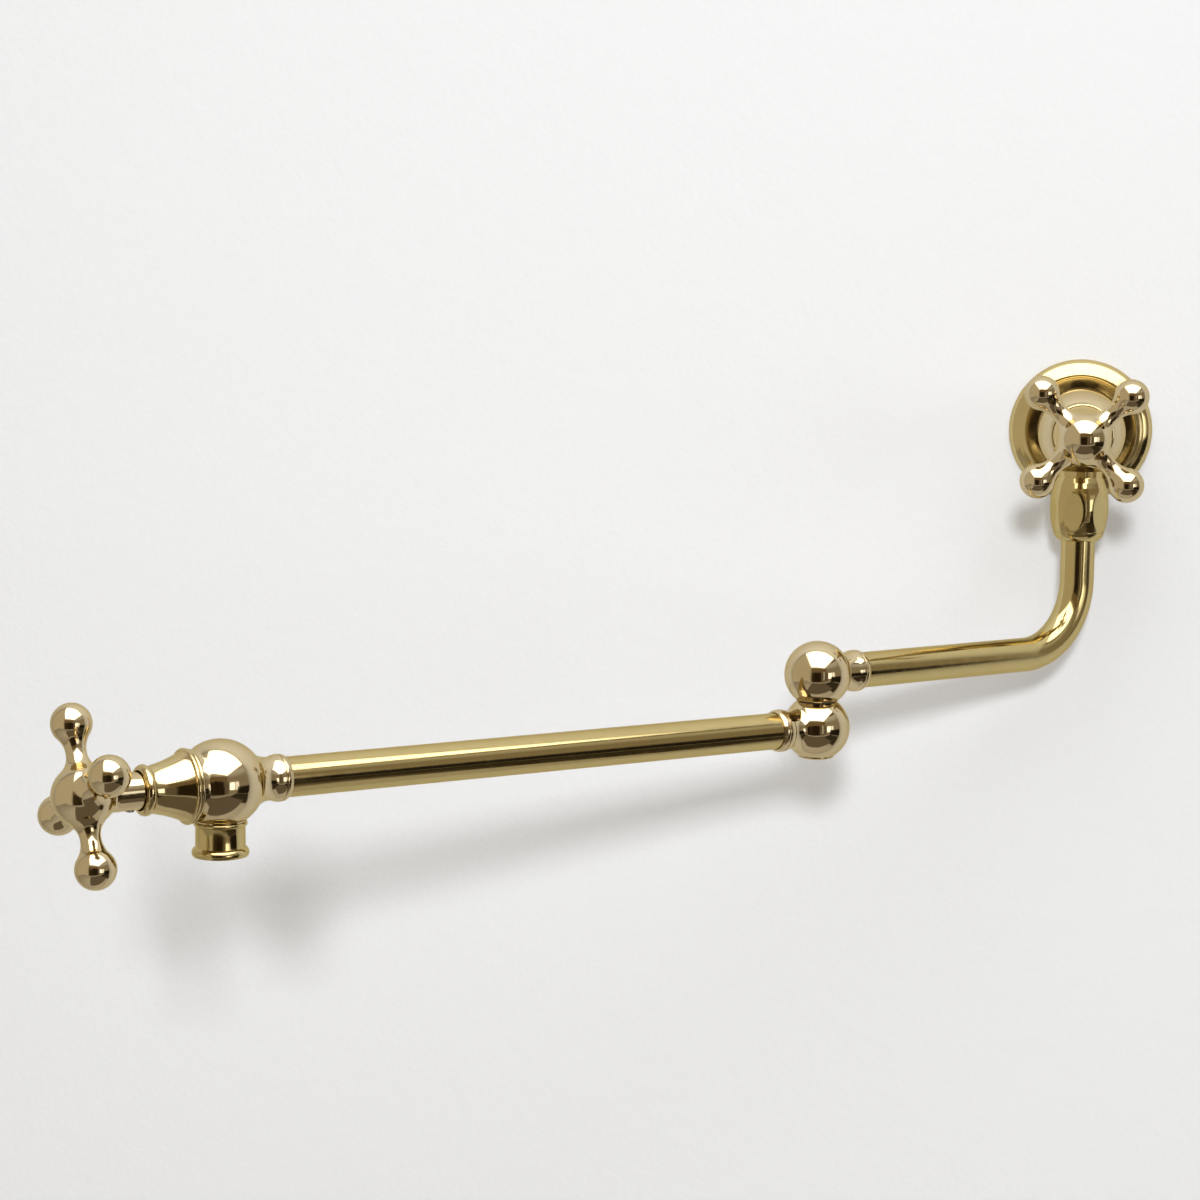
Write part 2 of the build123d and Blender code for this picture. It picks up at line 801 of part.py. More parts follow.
def flange_screw():
    """Set screw under the flange's neck, against the shank."""
    screw = rod(grub_r, shank_r, flange_neck_r - play)
    key = extrude(RegularPolygon(grub_key / 2, 6, major_radius=False), grub_key_depth)
    screw -= Pos(0, 0, flange_neck_r - play - grub_key_depth) * key
    return facing(Vector(0, 0, 0), outward) * flange_screw_place() * screw


# ---- Outlet --------------------------------------------------------------------------------------
def outlet_frame():
    """Frame on the boss's flat, with +Z straight down."""
    return below(spout_ball - up * nozzle_top())


def outlet_nozzle():
    """Turned nozzle screwed into the end valve's underside, with room for the aerator."""
    solid = turned(
        (0, -nozzle_thread),
        (nozzle_thread_r, -nozzle_thread),
        (nozzle_thread_r, 0),
        (nozzle_neck_r, 0),
        ((nozzle_flange_r, nozzle_flange / 2), (nozzle_neck_r, nozzle_flange)),
        (nozzle_neck_r, nozzle_neck),
        ((nozzle_rim_r, nozzle_rim_mid), (nozzle_lip_r, nozzle_end)),
        (0, nozzle_end),
    )
    solid -= rod(nozzle_bore_r, -nozzle_thread, nozzle_end)
    return outlet_frame() * (solid - rod(aerator_r, aerator_top, nozzle_end))


def housing_top():
    """Boss's flat down to the aerator's housing."""
    return aerator_top + aerator_washer


def housing_end():
    """Boss's flat down to the housing's lower end."""
    return nozzle_end - aerator_set_in


def aerator_seal():
    """Rubber washer above the aerator."""
    outer = aerator_r - running
    return outlet_frame() * ring(outer, aerator_washer_bore_r, aerator_top, housing_top())


def aerator_housing():
    """Plastic ring with a lip that carries the screen."""
    outer = aerator_r - fixed_gap
    solid = ring(outer, aerator_bore_r, housing_top(), housing_end())
    solid += ring(outer, aerator_lip_r, housing_end() - aerator_lip, housing_end())
    return outlet_frame() * solid


def aerator_screen():
    """Screen with square holes, resting on the housing's lip."""
    count = int(2 * aerator_lip_r / screen_pitch)
    reach = aerator_lip_r - screen_hole
    grid = GridLocations(screen_pitch, screen_pitch, count, count)
    holes = [place * Rectangle(screen_hole, screen_hole) for place in grid
             if place.position.length < reach]
    plate = Circle(aerator_bore_r - fixed_gap) - holes
    top = housing_end() - aerator_lip - screen_thick
    return outlet_frame() * Pos(0, 0, top) * extrude(plate, screen_thick)


# ---- Assembly ------------------------------------------------------------------------------------
def head_pieces(prefix, frame, turn):
    """Everything in front of a valve body's face, with the cartridge inside it."""
    return {
        f"{prefix}_bonnet": frame * bonnet(),
        f"{prefix}_cartridge_housing": frame * cartridge_housing(),
        f"{prefix}_fixed_disc": frame * fixed_disc(),
        f"{prefix}_seat_seal": frame * seat_seal(),
        f"{prefix}_housing_seal": frame * housing_seal(),
        f"{prefix}_moving_disc": frame * moving_disc(),
        f"{prefix}_spindle": frame * spindle(),
        f"{prefix}_spindle_seal": frame * spindle_seal_ring(),
        f"{prefix}_handle": frame * cross_handle(turn),
        f"{prefix}_handle_screw": frame * handle_screw(),
    }


def all_pieces():
    """Every node by name."""
    pieces = {
        "wall_flange": wall_flange(),
        "flange_gasket": flange_gasket(),
        "flange_screw": flange_screw(),
        "wall_valve_body": wall_valve_body(),
        "union_nut": union_nut(),
        "swivel_tail": swivel_tail(),
        "tail_seals": tail_seals(),
        "thrust_washers": thrust_washers(),
        "drop_tube": drop_tube(),
        "upper_elbow": upper_elbow(),
        "swivel_post": swivel_post(),
        "post_seals": post_seals(),
        "snap_ring": snap_ring(),
        "elbow_washer": elbow_washer(),
        "lower_elbow": lower_elbow(),
        "post_washer": post_washer(),
        "elbow_plug": elbow_plug(),
        "arm_tube": arm_tube(),
        "end_valve_body": end_valve_body(),
        "outlet_nozzle": outlet_nozzle(),
        "aerator_seal": aerator_seal(),
        "aerator_housing": aerator_housing(),
        "aerator_screen": aerator_screen(),
    }
    pieces.update(head_pieces("wall", head_frame(wall_ball, outward, wall_ball_r), wall_handle_turn))
    pieces.update(head_pieces("end", head_frame(spout_ball, lower_dir, spout_ball_r), end_handle_turn))
    return pieces


os.makedirs("parts", exist_ok=True)
for name, shape in all_pieces().items():
    shape.label = name
    export_step(shape, f"parts/{name}.step")
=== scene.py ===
"""Looks of the wall mounted pot filler: polished bare brass against a white plaster wall.

Blender works in metres here, in the frame of the solids: the wall is the plane Y = 0, the room lies
towards -Y, +X is to the right along the wall and +Z is up. The object's sizes are in millimetres, and
each turned piece is drawn in its own frame and set in place by a Place. The studio's are in metres.
"""
import json
import logging
import math
from dataclasses import dataclass, field
from enum import Enum
from typing import Callable, Optional, Sequence, Union

import bmesh
import bpy
import numpy as np
from mathutils import Matrix, Vector


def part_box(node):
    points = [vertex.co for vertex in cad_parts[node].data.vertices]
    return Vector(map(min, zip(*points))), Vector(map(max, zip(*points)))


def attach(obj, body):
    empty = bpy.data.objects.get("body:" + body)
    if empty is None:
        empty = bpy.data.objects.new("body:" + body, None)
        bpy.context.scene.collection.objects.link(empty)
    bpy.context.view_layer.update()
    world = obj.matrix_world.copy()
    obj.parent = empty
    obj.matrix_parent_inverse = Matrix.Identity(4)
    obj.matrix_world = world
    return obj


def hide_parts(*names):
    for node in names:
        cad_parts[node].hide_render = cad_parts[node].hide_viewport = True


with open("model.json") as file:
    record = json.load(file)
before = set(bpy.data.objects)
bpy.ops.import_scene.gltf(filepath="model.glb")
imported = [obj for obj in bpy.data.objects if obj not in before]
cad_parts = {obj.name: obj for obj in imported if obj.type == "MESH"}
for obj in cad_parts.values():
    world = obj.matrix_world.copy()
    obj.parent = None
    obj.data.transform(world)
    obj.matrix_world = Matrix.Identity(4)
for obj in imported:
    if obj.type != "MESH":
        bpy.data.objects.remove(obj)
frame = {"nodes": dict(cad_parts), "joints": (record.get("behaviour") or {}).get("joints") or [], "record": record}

LOG = logging.getLogger("pot_filler")
MM = 0.001
UP = Vector((0.0, 0.0, 1.0))
OUT = Vector((0.0, -1.0, 0.0))
SEGMENTS = 160           # faces round a turned piece
ARC_STEP = 4.0           # degrees between two points of a profile's arc
SOFT_EDGE = 0.22         # millimetres, radius that polishing leaves on an edge
SHARP = math.radians(32.0)       # an edge that bends more is shaded sharp
LEAST_BEND = math.radians(20.0)  # a profile's corner that bends less isn't rounded
CORNER_SHARE = 0.4       # most of a side that a rounded corner takes up
CORNER_PULL = 0.55       # how far a rounded corner's middle point is drawn towards the corner
SEAM = 0.002             # millimetres, points of a turned piece that are this near are one
WELD = 1e-4              # millimetres, the same for points of a finished mesh
HAIR = 1e-5              # millimetres, an edge shorter than this is taken out

Point = tuple[float, float]
Colour = tuple[float, float, float]
SocketValue = Union[float, int, bool, Sequence[float], bpy.types.NodeSocket, bpy.types.Material]


# ---- Places and joints ------------------------------------------------------------------------------
@dataclass(frozen=True)
class Place:
    """Local frame of a piece: its origin in millimetres, its +Z direction and its +Y direction."""

    origin: Vector
    along: Vector
    upward: Vector

    @classmethod
    def facing(cls, origin: Vector, along: Vector) -> "Place":
        """Frame with +Z along a level direction and +Y up."""
        return cls(origin, along, UP)

    @classmethod
    def below(cls, origin: Vector) -> "Place":
        """Frame with +Z straight down and +X to the right."""
        return cls(origin, -UP, OUT)

    def shifted(self, height: float) -> "Place":
        """The same frame, moved along its own +Z."""
        return Place(self.origin + self.along * height, self.along, self.upward)

    def rotation(self) -> Matrix:
        """Turn from local axes to those of the solids' frame."""
        return Matrix((self.upward.cross(self.along), self.upward, self.along)).transposed()

    def matrix(self) -> Matrix:
        """Local millimetres to metres in the solids' frame."""
        turn = self.rotation().to_4x4()
        return Matrix.Translation(self.origin * MM) @ turn @ Matrix.Scale(MM, 4)


def joint(name: str) -> dict:
    """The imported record's joint of that name."""
    return next(found for found in frame["joints"] if found["name"] == name)


def joint_point(name: str) -> Vector:
    """A joint's point in millimetres."""
    return Vector(joint(name)["pos_m"]) / MM


# ---- Profiles ---------------------------------------------------------------------------------------
class Profile:
    """Outline of a turned piece, drawn step by step as (radius, height) in millimetres."""

    def __init__(self, radius: float, height: float) -> None:
        """Starts the outline at a point."""
        self.points: list[Point] = [(radius, height)]

    def to(self, *points: Point) -> "Profile":
        """Adds straight runs to the points given."""
        self.points.extend(points)
        return self

    def arc(self, middle: Point, end: Point) -> "Profile":
        """Adds an arc through a middle point.

        Args:
            middle: any point of the arc between its ends.
            end: the arc's last point.
        Returns:
            The profile itself.
        """
        start = self.points[-1]
        centre = circle_centre(start, middle, end)
        radius = math.dist(centre, start)
        first = math.atan2(start[1] - centre[1], start[0] - centre[0])
        sweep = turn_through(first, middle, end, centre)
        steps = max(4, math.ceil(abs(math.degrees(sweep)) / ARC_STEP))
        for step in range(1, steps):
            angle = first + sweep * step / steps
            self.points.append((centre[0] + radius * math.cos(angle),
                                centre[1] + radius * math.sin(angle)))
        self.points.append(end)
        return self

    def softened(self, closed: bool, radius: float = SOFT_EDGE) -> list[Point]:
        """Rounds each edge as polishing does.

        Args:
            closed: whether the last point runs on to the first.
            radius: of the rounded edges.
        Returns:
            The outline's points, with three in the place of each edge.
        """
        points = [p for i, p in enumerate(self.points) if i == 0 or p != self.points[i - 1]]
        if closed and points[0] == points[-1]:
            points.pop()
        soft: list[Point] = []
        for index, here in enumerate(points):
            if not closed and index in (0, len(points) - 1):
                soft.append(here)
                continue
            before = points[index - 1]
            after = points[(index + 1) % len(points)]
            soft.extend(rounded_corner(before, here, after, radius))
        return soft


def circle_centre(a: Point, b: Point, c: Point) -> Point:
    """Centre of the circle through three points.

    Args:
        a, b, c: the points, which don't lie in one line.
    Returns:
        The centre.
    """
    d = 2 * (a[0] * (b[1] - c[1]) + b[0] * (c[1] - a[1]) + c[0] * (a[1] - b[1]))
    squares = [p[0] ** 2 + p[1] ** 2 for p in (a, b, c)]
    x = squares[0] * (b[1] - c[1]) + squares[1] * (c[1] - a[1]) + squares[2] * (a[1] - b[1])
    y = squares[0] * (c[0] - b[0]) + squares[1] * (a[0] - c[0]) + squares[2] * (b[0] - a[0])
    return x / d, y / d


def turn_through(first: float, middle: Point, end: Point, centre: Point) -> float:
    """Signed angle from the first direction to the end, passing the middle.

    Args:
        first: direction of the arc's start as seen from the centre, in radians.
        middle: a point that the turn passes.
        end: the point it ends at.
        centre: the point it turns about.
    Returns:
        The angle in radians, positive from +X to +Y.
    """
    to_middle, to_end = (math.atan2(p[1] - centre[1], p[0] - centre[0]) - first
                         for p in (middle, end))
    to_middle %= math.tau
    to_end %= math.tau
    return to_end if to_middle <= to_end else to_end - math.tau


def rounded_corner(before: Point, here: Point, after: Point, radius: float) -> list[Point]:
    """The points that stand for one corner: itself if it's nearly straight, else a small round.

    Args:
        before: the outline's point before the corner.
        here: the corner.
        after: the point after it.
        radius: of the small round.
    Returns:
        One point or three.
    """
    back = Vector(before) - Vector(here)
    on = Vector(after) - Vector(here)
    if back.length < 1e-6 or on.length < 1e-6:
        return [here]
    bend = math.pi - back.angle(on)
    if bend < LEAST_BEND:
        return [here]
    reach = min(radius * math.tan(bend / 2), CORNER_SHARE * back.length, CORNER_SHARE * on.length)
    start = Vector(here) + back.normalized() * reach
    end = Vector(here) + on.normalized() * reach
    before_it = start.lerp(Vector(here), CORNER_PULL)
    after_it = Vector(here).lerp(end, 1.0 - CORNER_PULL)
    return [tuple(start), tuple(before_it.lerp(after_it, 0.5)), tuple(end)]


def ball_point(radius: float, out: float, sign: float = 1.0) -> Point:
    """The point of a ball's outline at a distance out from its axis."""
    return out, sign * math.sqrt(radius ** 2 - out ** 2)


def ball_blend(ball: float, neck: float, fillet: float) -> tuple[Point, Point, Point]:
    """Fillet from a ball at the origin to a neck along +Z: its start, middle and end.

    Args:
        ball: radius of the ball.
        neck: radius of the neck.
        fillet: radius of the fillet.
    Returns:
        The three points, as (radius, height).
    """
    centre = Vector((neck + fillet, math.sqrt((ball + fillet) ** 2 - (neck + fillet) ** 2)))
    on_ball = centre * (ball / (ball + fillet))
    on_neck = Vector((neck, centre.y))
    middle = centre + (on_ball + on_neck - centre * 2).normalized() * fillet
    return tuple(on_ball), tuple(middle), tuple(on_neck)


# ---- Node trees -------------------------------------------------------------------------------------
class Graph:
    """Adds and links nodes in one tree, so that a tree reads as a list of steps."""

    def __init__(self, tree: bpy.types.NodeTree) -> None:
        """Starts with an empty tree."""
        self.tree = tree
        tree.nodes.clear()

    def add(self, kind: str, inputs: Optional[dict] = None, **settings: object) -> bpy.types.Node:
        """Adds a node.

        Args:
            kind: the node's type name.
            inputs: socket name or number to a value or to the output that feeds it.
            settings: the node's own properties.
        Returns:
            The new node.
        """
        node = self.tree.nodes.new(kind)
        for name, value in settings.items():
            setattr(node, name, value)
        for key, value in (inputs or {}).items():
            self.feed(node.inputs[key], value)
        return node

    def feed(self, socket: bpy.types.NodeSocket, value: SocketValue) -> None:
        """Sets a socket to a value, or links an output to it.

        Args:
            socket: an input of one of the tree's nodes.
            value: a value that suits it, or the output that feeds it.
        """
        if isinstance(value, bpy.types.NodeSocket):
            self.tree.links.new(value, socket)
        else:
            socket.default_value = value

    def maths(self, operation: str, *values: SocketValue) -> bpy.types.NodeSocket:
        """One step of arithmetic, as its output."""
        return self.add("ShaderNodeMath", dict(enumerate(values)), operation=operation).outputs[0]

    def vector(self, operation: str, *values: SocketValue) -> bpy.types.NodeSocket:
        """One step of vector arithmetic, as its output: a length as a value, the rest as a vector."""
        node = self.add("ShaderNodeVectorMath", dict(enumerate(values)), operation=operation)
        return node.outputs["Value" if operation == "LENGTH" else "Vector"]

    def between(self, value: SocketValue, low: float, high: float,
                start: SocketValue = 0.0, end: SocketValue = 1.0) -> bpy.types.NodeSocket:
        """A value taken smoothly from one range to another.

        Args:
            value: what is taken over.
            low, high: the range it comes from.
            start, end: the range it goes to.
        Returns:
            The result, held within the new range.
        """
        node = self.add("ShaderNodeMapRange", {0: value, 1: low, 2: high, 3: start, 4: end},
                        interpolation_type="SMOOTHSTEP")
        return node.outputs[0]

    def noise(self, vector: SocketValue, scale: float, detail: float = 2.0,
              roughness: float = 0.5) -> bpy.types.NodeSocket:
        """Noise over a vector, as its single value.

        Args:
            vector: where the noise is read.
            scale: how many grains lie in one unit.
            detail: how many finer layers it has.
            roughness: the finer layers' share.
        Returns:
            The value, from 0 to 1.
        """
        node = self.add("ShaderNodeTexNoise", {"Vector": vector, "Scale": scale, "Detail": detail,
                                               "Roughness": roughness})
        return node.outputs[0]

    def blend(self, share: SocketValue, a: SocketValue, b: SocketValue) -> bpy.types.NodeSocket:
        """Mixes two colours.

        Args:
            share: of the second colour, from 0 to 1.
            a, b: the two colours.
        Returns:
            The mixed colour.
        """
        node = self.add("ShaderNodeMix", data_type="RGBA")
        for key, value in ((0, share), (6, a), (7, b)):
            self.feed(node.inputs[key], value)
        return node.outputs[2]


def socket(tree: bpy.types.NodeTree, name: str, kind: str, default: object = None,
           output: bool = False) -> None:
    """Adds a named socket to a node group.

    Args:
        tree: the node group.
        name: the socket's name.
        kind: its type, such as Float or Vector.
        default: its value while nothing else is given.
        output: whether it is an output.
    """
    made = tree.interface.new_socket(name, in_out="OUTPUT" if output else "INPUT",
                                     socket_type=f"NodeSocket{kind}")
    if default is not None:
        made.default_value = default


def modifier_input(modifier: bpy.types.NodesModifier, name: str, value: object) -> None:
    """Sets a Geometry Nodes modifier's input, found by its socket's identifier.

    Args:
        modifier: the modifier, with its tree set.
        name: the input's name.
        value: what it is set to.
    """
    items = modifier.node_group.interface.items_tree
    found = next(item for item in items
                 if item.item_type == "SOCKET" and item.in_out == "INPUT" and item.name == name)
    modifier[found.identifier] = value


# ---- Geometry Nodes trees ---------------------------------------------------------------------------
def geometry_tree(name: str) -> tuple[bpy.types.NodeTree, Graph, bpy.types.Node]:
    """An empty Geometry Nodes tree that takes and gives geometry.

    Args:
        name: of the tree.
    Returns:
        The tree, its graph and its input node.
    """
    tree = bpy.data.node_groups.new(name, "GeometryNodeTree")
    tree.is_modifier = True
    socket(tree, "Geometry", "Geometry")
    socket(tree, "Geometry", "Geometry", output=True)
    graph = Graph(tree)
    return tree, graph, graph.add("NodeGroupInput")


def close_tree(graph: Graph, geometry: bpy.types.NodeSocket, material: bpy.types.NodeSocket) -> None:
    """Ends a tree with real meshes in one material.

    Args:
        graph: the tree's graph.
        geometry: what the tree has made.
        material: the tree's own material input.
    """
    real = graph.add("GeometryNodeRealizeInstances", {0: geometry})
    dressed = graph.add("GeometryNodeSetMaterial", {"Geometry": real.outputs[0],
                                                    "Material": material})
    graph.add("NodeGroupOutput", {0: dressed.outputs[0]})


def turning_tree() -> bpy.types.NodeTree:
    """Turns a profile, drawn as (radius, 0, height), once round the Z axis.

    Returns:
        The tree, with the number of segments as an input.
    """
    tree, graph, group = geometry_tree("turned_piece")
    socket(tree, "Segments", "Int", SEGMENTS)
    socket(tree, "Path radius", "Float", 10.0)
    socket(tree, "Material", "Material")
    place = graph.add("ShaderNodeSeparateXYZ", {0: graph.add("GeometryNodeInputPosition").outputs[0]})
    flat = graph.add("ShaderNodeCombineXYZ", {
        0: graph.maths("SUBTRACT", place.outputs[0], group.outputs["Path radius"]),
        1: graph.maths("MULTIPLY", place.outputs[2], -1.0)})
    laid = graph.add("GeometryNodeSetPosition", {"Geometry": group.outputs["Geometry"],
                                                 "Position": flat.outputs[0]})
    outline = graph.add("GeometryNodeMeshToCurve", {0: laid.outputs[0]})
    path = graph.add("GeometryNodeCurvePrimitiveCircle", {"Resolution": group.outputs["Segments"],
                                                          "Radius": group.outputs["Path radius"]})
    swept = graph.add("GeometryNodeCurveToMesh", {"Curve": path.outputs[0],
                                                  "Profile Curve": outline.outputs[0]})
    closed = graph.add("GeometryNodeMergeByDistance", {"Geometry": swept.outputs[0],
                                                       "Distance": SEAM})
    close_tree(graph, closed.outputs[0], group.outputs["Material"])
    return tree


def tube_tree() -> bpy.types.NodeTree:
    """Sweeps a tube's ring along a centre line drawn as a chain of edges, with open bore.

    Returns:
        The tree, with both radii and the number of segments as inputs.
    """
    tree, graph, group = geometry_tree("swept_tube")
    socket(tree, "Segments", "Int", SEGMENTS)
    socket(tree, "Outer radius", "Float", 9.5)
    socket(tree, "Bore radius", "Float", 8.3)
    socket(tree, "Material", "Material")
    line = graph.add("GeometryNodeMeshToCurve", {0: group.outputs["Geometry"]})
    walls = []
    for name in ("Outer radius", "Bore radius"):
        round_line = graph.add("GeometryNodeCurvePrimitiveCircle", {
            "Resolution": group.outputs["Segments"], "Radius": group.outputs[name]})
        swept = graph.add("GeometryNodeCurveToMesh", {"Curve": line.outputs[0],
                                                      "Profile Curve": round_line.outputs[0]})
        walls.append(swept.outputs[0])
    inner = graph.add("GeometryNodeFlipFaces", {0: walls[1]})
    both = graph.add("GeometryNodeJoinGeometry")
    graph.feed(both.inputs[0], walls[0])
    graph.feed(both.inputs[0], inner.outputs[0])
    close_tree(graph, both.outputs[0], group.outputs["Material"])
    return tree


def spoke_tree() -> bpy.types.NodeTree:
    """Repeats a piece drawn along +X at equal turns about the Z axis.

    Returns:
        The tree, with the count and a first turn as inputs.
    """
    tree, graph, group = geometry_tree("equal_spokes")
    socket(tree, "Count", "Int", 4)
    socket(tree, "Turn", "Float", 0.0)
    socket(tree, "Material", "Material")
    points = graph.add("GeometryNodePoints", {"Count": group.outputs["Count"]})
    index = graph.add("GeometryNodeInputIndex").outputs[0]
    step = graph.maths("DIVIDE", math.tau, group.outputs["Count"])
    angle = graph.maths("ADD", graph.maths("MULTIPLY", index, step), group.outputs["Turn"])
    turned = graph.add("ShaderNodeCombineXYZ", {2: angle})
    turn = graph.add("FunctionNodeEulerToRotation", {0: turned.outputs[0]})
    spokes = graph.add("GeometryNodeInstanceOnPoints", {
        "Points": points.outputs[0], "Instance": group.outputs["Geometry"],
        "Rotation": turn.outputs[0]})
    close_tree(graph, spokes.outputs[0], group.outputs["Material"])
    return tree


def woven_tree() -> bpy.types.NodeTree:
    """Weaves round wires over a disc: each wire is as long as the disc is wide where it lies.

    Returns:
        The tree, with the disc, the pitch and the wire as inputs.
    """
    tree, graph, group = geometry_tree("woven_screen")
    socket(tree, "Disc radius", "Float", 8.7)
    socket(tree, "Pitch", "Float", 0.9)
    socket(tree, "Wire radius", "Float", 0.13)
    socket(tree, "Material", "Material")
    radius = group.outputs["Disc radius"]
    pitch = group.outputs["Pitch"]
    half = graph.maths("FLOOR", graph.maths("DIVIDE", radius, pitch))
    count = graph.maths("SUBTRACT", graph.maths("MULTIPLY", half, 2.0), 1.0)
    points = graph.add("GeometryNodePoints", {"Count": count})
    index = graph.add("GeometryNodeInputIndex").outputs[0]
    side = graph.maths("MULTIPLY", graph.maths("SUBTRACT", graph.maths("ADD", index, 1.0), half), pitch)
    chord = graph.maths("SQRT", graph.maths("SUBTRACT", graph.maths("POWER", radius, 2.0),
                                            graph.maths("POWER", side, 2.0)))
    spot = graph.add("ShaderNodeCombineXYZ", {1: side})
    rows = graph.add("GeometryNodeSetPosition", {"Geometry": points.outputs[0],
                                                 "Position": spot.outputs[0]})
    line = graph.add("GeometryNodeCurvePrimitiveLine", {"Start": (-1.0, 0.0, 0.0),
                                                        "End": (1.0, 0.0, 0.0)})
    stretch = graph.add("ShaderNodeCombineXYZ", {0: chord, 1: 1.0, 2: 1.0})
    wires = graph.add("GeometryNodeInstanceOnPoints", {
        "Points": rows.outputs[0], "Instance": line.outputs[0], "Scale": stretch.outputs[0]})
    laid = graph.add("GeometryNodeRealizeInstances", {0: wires.outputs[0]})
    fine = graph.add("GeometryNodeResampleCurve", {"Curve": laid.outputs[0], "Length":
                     graph.maths("DIVIDE", pitch, 4.0)}, mode="LENGTH")
    place = graph.add("ShaderNodeSeparateXYZ", {0: graph.add("GeometryNodeInputPosition").outputs[0]})
    phase = graph.maths("MULTIPLY", graph.maths("DIVIDE", place.outputs[0], pitch), math.pi)
    row = graph.maths("MULTIPLY", graph.maths("DIVIDE", place.outputs[1], pitch), math.pi)
    weave = graph.maths("MULTIPLY", graph.maths("MULTIPLY", graph.maths("SINE", phase),
                                                graph.maths("COSINE", row)),
                        group.outputs["Wire radius"])
    wave = graph.add("ShaderNodeCombineXYZ", {2: weave})
    bent = graph.add("GeometryNodeSetPosition", {"Geometry": fine.outputs[0], "Offset": wave.outputs[0]})
    ring = graph.add("GeometryNodeCurvePrimitiveCircle", {"Resolution": 6,
                                                          "Radius": group.outputs["Wire radius"]})
    mesh = graph.add("GeometryNodeCurveToMesh", {"Curve": bent.outputs[0],
                                                 "Profile Curve": ring.outputs[0], "Fill Caps": True})
    crossed = graph.add("GeometryNodeTransform", {"Geometry": mesh.outputs[0],
                                                  "Rotation": (0.0, 0.0, math.pi / 2)})
    both = graph.add("GeometryNodeJoinGeometry")
    graph.feed(both.inputs[0], mesh.outputs[0])
    graph.feed(both.inputs[0], crossed.outputs[0])
    close_tree(graph, both.outputs[0], group.outputs["Material"])
    return tree


